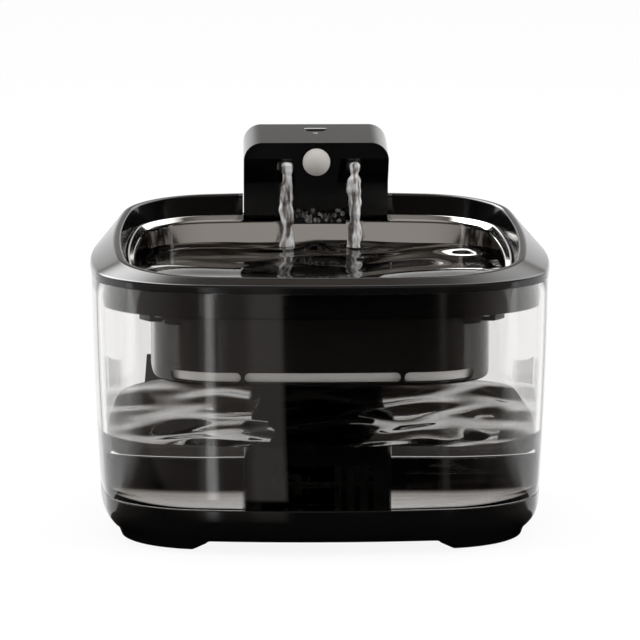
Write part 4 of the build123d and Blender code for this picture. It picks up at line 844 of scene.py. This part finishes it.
def build_grille():
    """Drain grille: a frame and a row of upright bars."""
    back = CHUTE_BACK - 0.1
    bar = 1.2
    depth = (back - bar, back)
    half = DRAIN_HALF - 0.1
    top = 132.2
    low = DRAIN_SILL - 6.0
    count = bpy.context.scene.fountain_sizes.grille_posts
    pitch = 2 * half / (count + 1)
    posts = run_tree("bars", "Row of bars", bar_row, Count=count,
                     Start=Vector((-half + pitch, (depth[0] + depth[1]) / 2, (DRAIN_SILL + top) / 2)) * MM,
                     Step=(pitch * MM, 0.0, 0.0), Size=Vector((1.0, 1.1, top - DRAIN_SILL - bar)) * MM,
                     Material=finish("black_abs"))
    rails = [block("bar", across, depth, height) for across, height in (
        ((-half, half), (DRAIN_SILL, DRAIN_SILL + bar)), ((-half, half), (top - bar, top)),
        ((-half, -half + bar), (low, top)), ((half - bar, half), (low, top)))]
    place(joined("overflow_grille", [posts] + rails), "lid", "black_abs", "drain_grille")


# ---------------------------------------------------------------- tub and filter
def slot_prisms():
    """Pill slots through the front and the back of the tub."""
    middle_length, side_length, bridge, height = 69.3, 31.2, 1.7, 4.6
    z = 73.6 + height / 2
    step = middle_length / 2 + bridge + side_length / 2
    cutters = []
    for x, length in ((0.0, middle_length), (-step, side_length), (step, side_length)):
        outline = pill_outline((x, z), length, height)
        for low, high in ((-90.0, -60.0), (60.0, 90.0)):
            cutters.append(prism("cut", outline, low, high, axis="Y"))
    return cutters


def build_tub():
    wall = 1.8
    floor = TUB_LOW + wall
    brim = FLANGE_Z + 1.0
    profile = [(ring(TUB, TUB_LOW, 8.0), 0), (ring(TUB, TUB_LOW, 0.0), 2.2), (ring(TUB, brim, 0.0), 0.4),
               (ring(TUB, brim, wall), 0.4), (ring(TUB, floor, wall), 1.0), (ring(TUB, floor, 8.0), 0)]
    shell = loft("filter_cup", profile)
    lug_top = FLANGE_Z + 0.98
    lugs = hanging_parts("lug", [
        (ring(TUB, FLANGE_Z, 0.4), 0), (ring(TRAY, FLANGE_Z, FLANGE_WIDTH), 0.3),
        (ring(TRAY, lug_top, FLANGE_WIDTH), 0.3), (ring(TUB, lug_top, 0.4), 0)])
    combine(shell, lugs, "UNION")
    cutters = slot_prisms()
    pitch, wide, end = 12.0, 4.0, 54.0
    for k in range(9):
        y = (k - 4) * pitch
        for x in ((-end, -wide / 2), (wide / 2, end)):
            cutters.append(block("cut", x, (y - wide / 2, y + wide / 2), (TUB_LOW - 1.0, TUB_LOW + 3.0)))
    combine(shell, cutters)
    place(shell, "lid", "tub_plastic", "filter_tub")


def build_filter():
    place(bevelled_copy("filter_frame", "filter_cage", 0.0003, 2), "filter", "white_plastic", "filter_frame")


# ---------------------------------------------------------------- head
def build_head():
    edge = bpy.context.scene.fountain_sizes.edge
    for node, name, width, body, slot in (
            ("head_cap", "head_hood", edge, "head", "black_abs"),
            ("head_body", "head_case", edge * 0.4, "head", "black_abs"),
            ("mode_button", "mode_key", edge * 0.4, "button", "black_abs"),
            ("port_flap", "port_cover", edge * 0.4, "flap", "rubber")):
        place(bevelled_copy(node, name, width), body, slot, node)


def build_lens():
    """Domed lens with a collar through the wall of the hood."""
    front, radius, proud = 62.0, 6.5, 2.4
    curve = (radius ** 2 + proud ** 2) / (2 * proud)
    reach = math.asin(radius / curve)
    dome = [(curve * math.sin(a), proud - curve * (1 - math.cos(a))) for a in np.linspace(0.002, reach, 20)]
    profile = [(r, -along) for r, along in dome]
    profile += [(5.6, 0.02), (5.6, 1.8), (4.7, 1.8), (4.7, -0.4), (0.01, -0.4)]
    lens = lathe("sensor_dome", profile, (0.0, front, 156.6), axis="Y", steps=96)
    place(lens, "head", "lens_white", "sensor_lens")


def build_spouts():
    """Turned nozzle mouths with a rounded lip."""
    high = 156.8 - NOZZLE_LOW
    profile = [(2.3, 0.15), (2.5, 0.0), (2.9, 0.0), (3.1, 0.25), (3.1, high), (2.2, high), (2.2, 0.3)]
    mouths = [lathe("mouth", profile, (x, NOZZLE_Y, NOZZLE_LOW), steps=48, closed=True)
              for x in (-NOZZLE_X, NOZZLE_X)]
    place(joined("spout_mouths", mouths), "head", "black_abs", "spout_nozzles")


def build_screws():
    """Screws of the case and of the board, standing on points under their heads."""
    for name, node, height, length, along, across in (
            ("case_screw_set", "case_screws", 152.7 - 21.0, 21.0, 30.1, (80.2, 99.8)),
            ("board_screw_set", "board_screws", 162.2, 3.2, 22.5, (83.4, 98.3))):
        points = [(x, y, height) for x in (-along, along) for y in across]
        screws = run_tree(name, "Screws on points", screw_set, points, Head_radius=1.7 * MM,
                          Head_height=1.1 * MM, Shank_radius=0.85 * MM, Length=length * MM,
                          Material=finish("screw_steel"))
        place(screws, "head", "screw_steel", node)


# ---------------------------------------------------------------- pump tower
def build_tower():
    edge = bpy.context.scene.fountain_sizes.edge
    for node, name, width, segments in (("pump_housing", "tower_housing", edge, 3),
                                        ("pump_foot", "tower_foot", edge * 0.4, 2),
                                        ("riser_column", "tower_riser", edge * 0.5, 3)):
        place(bevelled_copy(node, name, width, segments), "stand", "black_abs", node)


# ---------------------------------------------------------------- water
def ripple(x, y, seed, lengths):
    """Smooth unit ripples: bent plane waves of mixed length and direction."""
    waves, warp = 6, 7.0
    random = np.random.default_rng(seed)
    bent_x = x + warp * np.sin(y / 19.0 + 0.7) + warp * 0.5 * np.sin(y / 8.3)
    bent_y = y + warp * np.sin(x / 23.0 + 1.9) + warp * 0.5 * np.sin(x / 9.7)
    total = np.zeros_like(x)
    for _ in range(waves):
        angle = random.uniform(0, 2 * math.pi)
        length = random.uniform(*lengths)
        phase = random.uniform(0, 2 * math.pi)
        total += length / lengths[1] * np.sin(2 * math.pi * (bent_x * math.cos(angle)
                                                             + bent_y * math.sin(angle)) / length + phase)
    return total / math.sqrt(waves)


def water_top(edge, height):
    """Loops from a waterline to its middle, lifted by a height function of x and y."""
    steps = 70
    middle = edge.mean(axis=0)
    loops = []
    for k in range(steps):
        share = 1 - (k / steps) ** 0.9 * 0.995
        points = middle + (edge - middle) * share
        calm = 0.35 + 0.65 * min(1.0, (1 - share) * 9)
        points[:, 2] += calm * height(points[:, 0], points[:, 1])
        loops.append(points)
    return loops


def place_water(obj, body, kind):
    """Water counts as a clear piece, but has a finish of its own."""
    place(obj, body, "clear_plastic")
    obj.data.materials[0] = finish(kind)


def build_tank_water():
    sizes = bpy.context.scene.fountain_sizes
    tall = sizes.tank_ripple / MM
    rings = ring_loops(tank_inside(WATER_OVERLAP, sizes.tank_level / MM))
    top = water_top(rings[-1], lambda x, y: tall * ripple(-x, y, 11, (34.0, 76.0)))
    place_water(skin("tank_water", rings[:-1] + top), "stand", "water")


def bowl_height(x, y, tall):
    """Ripples of the bowl: rings round both falling streams over a slow swell."""
    total = ripple(x, y, 5, (38.0, 76.0))
    for centre in (-NOZZLE_X, NOZZLE_X):
        away = np.hypot(x - centre, y - NOZZLE_Y)
        total += 0.7 * np.cos(2 * math.pi * away / 15.0) * np.exp(-away / 14.0)
    return tall * total


def build_bowl_water():
    sizes = bpy.context.scene.fountain_sizes
    tall = sizes.bowl_ripple / MM
    wall = bowl_rings(TRAY_SHEET - WATER_OVERLAP)
    lower = ring_loops(wall[:4])
    high = ring_points(wall[4][0])
    low = lower[-1]
    share = (sizes.bowl_level / MM - low[:, 2]) / (high[:, 2] - low[:, 2])
    waterline = low + (high - low) * share[:, None]
    top = water_top(waterline, lambda x, y: bowl_height(x, y, tall))
    place_water(skin("bowl_water", lower + top), "tray", "water")


def build_splash():
    """Beads of water thrown against the drain grille."""
    random = np.random.default_rng(4)
    front = CHUTE_BACK - 2.6
    count, left, width = 30, -11.5, 24.5
    turn = np.linspace(-math.pi / 2, math.pi / 2, 11)
    beads = []
    for k in range(count):
        x = left + width * (k + random.uniform(0.1, 0.9)) / count
        z = DRAIN_SILL + 1.2 + random.uniform(0.2, 5.6)
        r = random.uniform(0.5, 1.3)
        tall = r * random.uniform(0.8, 1.7)
        profile = [(max(0.01, r * math.cos(a)) * (1 + 0.12 * math.sin(3 * a + k)), z + tall * math.sin(a))
                   for a in turn]
        beads.append(lathe("bead", profile, (x, front - random.uniform(0.0, 2.0), 0.0), steps=14))
    # The beads share the streams' finish and its painted highlights.
    place_water(joined("drain_splash", beads), "tray", "stream")


def stream_loops(x, phase, radius, bottom):
    """A falling stream: a bulb at the mouth, a neck, then a slowly turning, uneven thread."""
    top = NOZZLE_LOW + 4.2
    steps, sides = 90, 40
    angles = np.arange(sides) * 2 * math.pi / sides
    loops = []
    for k in range(steps + 1):
        z = top + (bottom - top) * (k / steps)
        drop = top - z
        bulb = math.sqrt(max(0.0, 1 - (1 - min(drop / 2.4, 1.0)) ** 2))
        swell = 1.0 - 0.06 * math.exp(-((drop - 3.0) / 2.2) ** 2)
        swell -= 0.24 * math.exp(-((drop - 6.4) / 1.3) ** 2)
        swell += 0.07 * math.sin(drop * 0.52 + phase) + 0.05 * math.sin(drop * 1.13 + 2 * phase)
        foot = 1.0 + 0.12 * math.exp(-(z - bottom) / 1.0)
        uneven = min(1.0, drop / 6.0)
        shape = 1 + 0.17 * np.cos(2 * angles + drop * 0.28 + phase) * uneven
        shape += 0.07 * np.cos(3 * angles - drop * 0.43 + phase) * uneven
        r = radius * max(bulb, 0.02) * swell * foot * shape
        loose = min(1.0, drop / 8.0)
        sway_x = 0.35 * math.sin(drop * 0.21 + phase) * loose
        sway_y = STREAM_AHEAD + 0.3 * math.sin(drop * 0.17 + phase * 1.7) * loose
        loops.append(np.stack([x + sway_x + r * np.cos(angles), NOZZLE_Y + sway_y + r * np.sin(angles),
                               np.full(sides, z)], axis=1))
    return loops


def build_streams():
    sizes = bpy.context.scene.fountain_sizes
    radius = sizes.stream_radius / MM
    bottom = sizes.bowl_level / MM - 0.3
    threads = [skin("thread", stream_loops(STREAM_AIM + x, phase, radius, bottom))
               for x, phase in ((-NOZZLE_X, 0.4), (NOZZLE_X, 2.3))]
    place_water(joined("falling_streams", threads), "head", "stream")


# ---------------------------------------------------------------- stage
CAMERA_PLACE = (-0.0432, -2.0653, 0.3965)
CAMERA_AIM = (0.0207, 0.98899, -0.14655)
CAMERA_LENS = 254.9
CAMERA_SHIFT = 0.00116


def seen_directly(tree):
    """1 for camera, glossy and transmission rays, and what the light path tells."""
    path = tree.nodes.new("ShaderNodeLightPath").outputs
    total = path["Is Camera Ray"]
    for name in ("Is Glossy Ray", "Is Transmission Ray"):
        total = calculated(tree, "MAXIMUM", total, path[name])
    return total, path


def mirrored_once(tree, path):
    """1 for light that met a mirroring face on its way; what is seen straight through glass stays pale."""
    return calculated(tree, "GREATER_THAN", path["Glossy Depth"], 0.5)


# Brightness of the surroundings by direction, from straight in front (0) to straight behind (1):
# as mirrored by outer faces, and as seen through clear walls and water.
SKY_MIRRORED = ((0.0, 0.42), (0.2, 0.36), (0.38, 0.3), (0.5, 0.5), (0.62, 0.95), (1.0, 1.0))
SKY_THROUGH = ((0.0, 0.16), (0.25, 0.08), (0.5, 0.06), (0.6, 0.5), (0.7, 1.0), (1.0, 1.0))
CEILING_TURN = ((0.0, 0.55), (0.33, 0.55), (0.5, 0.15), (0.6, 0.0))
# Brightness by height of the direction, from level (0) to straight up (1).
DOME_MIRRORED = ((0.13, 1.0), (0.21, 0.9), (0.36, 0.14), (0.6, 0.04))
DOME_THROUGH = ((0.14, 1.0), (0.2, 0.5), (0.26, 0.04), (0.6, 0.02))
CEILING = ((0.5, 0.0), (0.74, 1.0), (1.0, 1.0))
SOFTBOX_SIDE = (0.47, 0.57, 0.67)   # towards the box on the right; the left one mirrors it
SOFTBOX_LEVEL = (9.0, 3.0)          # left and right
SOFTBOX_EDGE = ((0.84, 0.0), (0.96, 1.0))


def with_boxes(tree, sky, low, high):
    """Sum of the low sky, the ceiling and two softboxes, for mirrored light."""
    folded = add_node(tree, "ShaderNodeCombineXYZ", {
        "X": calculated(tree, "ABSOLUTE", sky["X"]), "Y": sky["Y"], "Z": sky["Z"]})
    towards_box = Vector(SOFTBOX_SIDE).normalized()
    near = vector_math(tree, "DOT_PRODUCT", folded.outputs["Vector"], towards_box, "Value")
    total = vector_math(tree, "MULTIPLY", grey_ramp(tree, near, SOFTBOX_EDGE),
                        remap(tree, sky["X"], -0.1, 0.1, *SOFTBOX_LEVEL))
    for layer in (low, high):
        total = vector_math(tree, "ADD", total, layer)
    return total


def build_world():
    world = bpy.data.worlds.new("studio")
    bpy.context.scene.world = world
    world.use_nodes = True
    tree = world.node_tree
    direct, path = seen_directly(tree)
    through = path["Is Transmission Ray"]
    towards = tree.nodes.new("ShaderNodeTexCoord").outputs["Generated"]
    sky = add_node(tree, "ShaderNodeSeparateXYZ", {"Vector": towards}).outputs
    bearing = remap(tree, sky["Y"], -1.0, 1.0, 0.0, 1.0)
    low, behind, high = [
        vector_math(tree, "MULTIPLY", grey_ramp(tree, sky["Z"], height), grey_ramp(tree, bearing, turn))
        for height, turn in ((DOME_MIRRORED, SKY_MIRRORED), (DOME_THROUGH, SKY_THROUGH),
                             (CEILING, CEILING_TURN))]
    graded = blended(tree, through, with_boxes(tree, sky, low, high), behind)
    plain = blended(tree, through, WHITE, grey_ramp(tree, sky["Z"], DOME_THROUGH))
    mirrored = calculated(tree, "SUBTRACT", mirrored_once(tree, path), path["Is Diffuse Ray"], use_clamp=True)
    fill(tree, tree.nodes["Background"], {"Color": blended(tree, mirrored, plain, graded),
                                          "Strength": remap(tree, direct, 0.0, 1.0, 0.8, 1.0)})


def flat_sheet(name, corners, height):
    return new_object(name, [(x, y, height) for x, y in corners], [(0, 1, 2, 3)])


def hide_from_camera(sheet):
    """Leave a sheet to mirrored light and to light through clear walls."""
    for kind in ("camera", "diffuse", "volume_scatter", "shadow"):
        setattr(sheet, "visible_" + kind, False)


def build_floor():
    reach = 7000.0
    floor = flat_sheet("studio_floor", ((-reach, -reach), (reach, -reach), (reach, reach), (-reach, reach)),
                       -SHEET_LIFT)
    material, tree, shader, output = new_material("Studio floor")
    fill(tree, shader, {"Base Color": (0.9, 0.9, 0.9, 1.0), "Roughness": 0.9})
    light = add_node(tree, "ShaderNodeEmission").outputs["Emission"]
    direct, _ = seen_directly(tree)
    mix_surface(tree, output, remap(tree, direct, 0.0, 1.0, 0.0, 0.9), shader.outputs["BSDF"], light)
    floor.data.materials.append(material)


# Brightness of the dark sheet by direction, from far left (0) to far right (1).
APRON_FAR = ((0.0, 0.4), (0.16, 0.3), (0.26, 0.2), (0.34, 0.12), (0.405, 0.12), (0.414, 0.35),
             (0.4185, 1.8), (0.4225, 1.8), (0.426, 0.14), (0.449, 0.14), (0.4495, 0.30), (0.476, 0.30),
             (0.4765, 0.0), (0.589, 0.0), (0.592, 0.14), (0.597, 0.14), (0.600, 0.02), (0.66, 0.04),
             (0.76, 0.14), (0.86, 0.3), (1.0, 0.4))
APRON_NEAR = ((0.0, 1.7), (0.1, 1.4), (0.22, 0.14), (0.32, 0.0), (0.68, 0.0), (0.78, 0.14), (0.9, 1.4),
              (1.0, 1.7))
APRON_FADE = (-0.165, -0.145)       # from the far brightness to the near one


def build_apron():
    """Dark sheet in front, seen only in reflections: its stripes fan out from behind the front wall."""
    reach, near, fan = 3000.0, -30.0, 0.09
    sheet = flat_sheet("dark_apron", ((-reach, -reach), (reach, -reach), (reach, near), (-reach, near)),
                       SHEET_LIFT)
    material, tree, shader, output = new_material("Dark apron")
    tree.nodes.remove(shader)
    split = add_node(tree, "ShaderNodeSeparateXYZ", {"Vector": object_place(tree)}).outputs
    angle = calculated(tree, "ARCTAN2", split["X"], calculated(tree, "SUBTRACT", fan, split["Y"]))
    turn = remap(tree, angle, -math.pi / 2, math.pi / 2, 0.0, 1.0)
    tone = blended(tree, remap(tree, split["Y"], *APRON_FADE, 0.0, 1.0), grey_ramp(tree, turn, APRON_FAR),
                   grey_ramp(tree, turn, APRON_NEAR))
    light = add_node(tree, "ShaderNodeEmission", {"Color": tone}).outputs["Emission"]
    path = tree.nodes.new("ShaderNodeLightPath").outputs
    open_air = tree.nodes.new("ShaderNodeBsdfTransparent").outputs["BSDF"]
    mix_surface(tree, output, mirrored_once(tree, path), open_air, light)
    sheet.data.materials.append(material)
    hide_from_camera(sheet)


def build_shade_card():
    """Painted floor shade: a dark glowing sheet on the floor just behind, seen only in mirrored light and
    through the clear walls, which darkens the foot of the walls.
    """
    shade_card = flat_sheet("rear_card", ((-95.0, 60.0), (95.0, 60.0), (104.0, 480.0), (-104.0, 480.0)), SHEET_LIFT)
    material, tree, shader, output = new_material("Painted floor shade")
    tree.nodes.remove(shader)
    # Painted shade: the sheet glows this dark grey in place of the shade on the floor behind the tank.
    light = add_node(tree, "ShaderNodeEmission", {"Color": (0.03, 0.028, 0.027, 1.0)})
    fill(tree, output, {"Surface": light.outputs["Emission"]})
    shade_card.data.materials.append(material)
    hide_from_camera(shade_card)


def set_up(name, data, place_at, direction):
    """Lamp or camera at a place, looking in a direction."""
    obj = linked(name, data)
    obj.location = place_at
    obj.rotation_euler = Vector(direction).to_track_quat("-Z", "Y").to_euler()
    return obj


def add_lamp(name, place_at, size, power):
    """Softbox that faces the fountain; only what it lights is seen, not the lamp."""
    lamp = bpy.data.lights.new(name, "AREA")
    lamp.shape = "RECTANGLE"
    lamp.size, lamp.size_y = size
    lamp.energy = power
    obj = set_up(name, lamp, place_at, Vector((0.0, 0.0, 0.09)) - Vector(place_at))
    obj.visible_glossy = False
    obj.visible_transmission = False


def build_lamps():
    add_lamp("left_softbox", (-1.5, 0.1, 0.8), (1.2, 1.4), 16.0)
    add_lamp("right_softbox", (1.5, 0.0, 0.7), (1.2, 1.4), 18.0)
    add_lamp("top_softbox", (0.0, 0.2, 1.9), (1.4, 1.4), 14.0)


def build_camera():
    camera = bpy.data.cameras.new("camera")
    camera.lens = CAMERA_LENS
    camera.sensor_width = 36.0
    camera.shift_x = CAMERA_SHIFT
    camera.clip_end = 50.0
    bpy.context.scene.camera = set_up("camera", camera, CAMERA_PLACE, CAMERA_AIM)


def dress_nodes():
    """Give every construction node that still shows the finish of its slot."""
    for part in frame["record"]["subparts"]:
        node = frame["nodes"][part["node"]]
        material = finish(part["material_slot"])
        for slot in node.material_slots:
            slot.material = material
        if not node.material_slots:
            node.data.materials.append(material)


# ---------------------------------------------------------------- operators
class FOUNTAIN_OT_finishes(bpy.types.Operator):
    """Give every construction piece its material"""
    bl_idname = "fountain.finishes"
    bl_label = "Finishes"

    def execute(self, context):
        dress_nodes()
        return {"FINISHED"}


class FOUNTAIN_OT_base(bpy.types.Operator):
    """Build the base moulding and its floor pads"""
    bl_idname = "fountain.base"
    bl_label = "Base"

    def execute(self, context):
        build_base()
        build_pads()
        return {"FINISHED"}


class FOUNTAIN_OT_tank(bpy.types.Operator):
    """Build the clear tank"""
    bl_idname = "fountain.tank"
    bl_label = "Tank"

    def execute(self, context):
        build_tank()
        return {"FINISHED"}


class FOUNTAIN_OT_rim(bpy.types.Operator):
    """Build the sloping rim with the head's pocket"""
    bl_idname = "fountain.rim"
    bl_label = "Rim"

    def execute(self, context):
        build_rim()
        return {"FINISHED"}


class FOUNTAIN_OT_tray(bpy.types.Operator):
    """Build the steel bowl and the drain grille"""
    bl_idname = "fountain.tray"
    bl_label = "Bowl and grille"

    def execute(self, context):
        build_tray()
        build_grille()
        return {"FINISHED"}


class FOUNTAIN_OT_filter(bpy.types.Operator):
    """Build the filter tub and the filter's cage"""
    bl_idname = "fountain.filter"
    bl_label = "Tub and filter"

    def execute(self, context):
        build_tub()
        build_filter()
        return {"FINISHED"}


class FOUNTAIN_OT_head(bpy.types.Operator):
    """Build the head, its lens, spouts, key and screws"""
    bl_idname = "fountain.head"
    bl_label = "Head"

    def execute(self, context):
        build_head()
        build_lens()
        build_spouts()
        build_screws()
        return {"FINISHED"}


class FOUNTAIN_OT_tower(bpy.types.Operator):
    """Build the pump tower and the riser"""
    bl_idname = "fountain.tower"
    bl_label = "Pump tower"

    def execute(self, context):
        build_tower()
        return {"FINISHED"}


class FOUNTAIN_OT_water(bpy.types.Operator):
    """Build the water in the tank and the bowl, and the two streams"""
    bl_idname = "fountain.water"
    bl_label = "Water"

    def execute(self, context):
        build_tank_water()
        build_bowl_water()
        build_streams()
        build_splash()
        return {"FINISHED"}


class FOUNTAIN_OT_stage(bpy.types.Operator):
    """Build the floor, lights and camera"""
    bl_idname = "fountain.stage"
    bl_label = "Stage"

    def execute(self, context):
        build_world()
        build_floor()
        build_apron()
        build_shade_card()
        build_lamps()
        build_camera()
        return {"FINISHED"}


OPERATORS = (FOUNTAIN_OT_finishes, FOUNTAIN_OT_base, FOUNTAIN_OT_tank, FOUNTAIN_OT_rim, FOUNTAIN_OT_tray,
             FOUNTAIN_OT_filter, FOUNTAIN_OT_head, FOUNTAIN_OT_tower, FOUNTAIN_OT_water, FOUNTAIN_OT_stage)


class FOUNTAIN_PT_panel(bpy.types.Panel):
    """Sidebar panel with the sizes, the colours and one button for each step"""
    bl_label = "Pet water fountain"
    bl_idname = "FOUNTAIN_PT_panel"
    bl_space_type = "VIEW_3D"
    bl_region_type = "UI"
    bl_category = "Fountain"

    def draw(self, context):
        for group in (context.scene.fountain_sizes, context.scene.fountain_colours):
            for key in group.__annotations__:
                self.layout.prop(group, key)
        for operator in OPERATORS:
            self.layout.operator(operator.bl_idname)


CLASSES = (FountainSizes, FountainColours, *OPERATORS, FOUNTAIN_PT_panel)


def register():
    for item in CLASSES:
        bpy.utils.register_class(item)
    bpy.types.Scene.fountain_sizes = PointerProperty(type=FountainSizes)
    bpy.types.Scene.fountain_colours = PointerProperty(type=FountainColours)


def unregister():
    del bpy.types.Scene.fountain_colours
    del bpy.types.Scene.fountain_sizes
    for item in reversed(CLASSES):
        bpy.utils.unregister_class(item)


def main():
    register()
    bpy.context.scene.view_settings.view_transform = "Standard"
    for operator in OPERATORS:
        group, name = operator.bl_idname.split(".")
        getattr(getattr(bpy.ops, group), name)()
    bpy.context.view_layer.update()


if __name__ == "__main__":
    main()
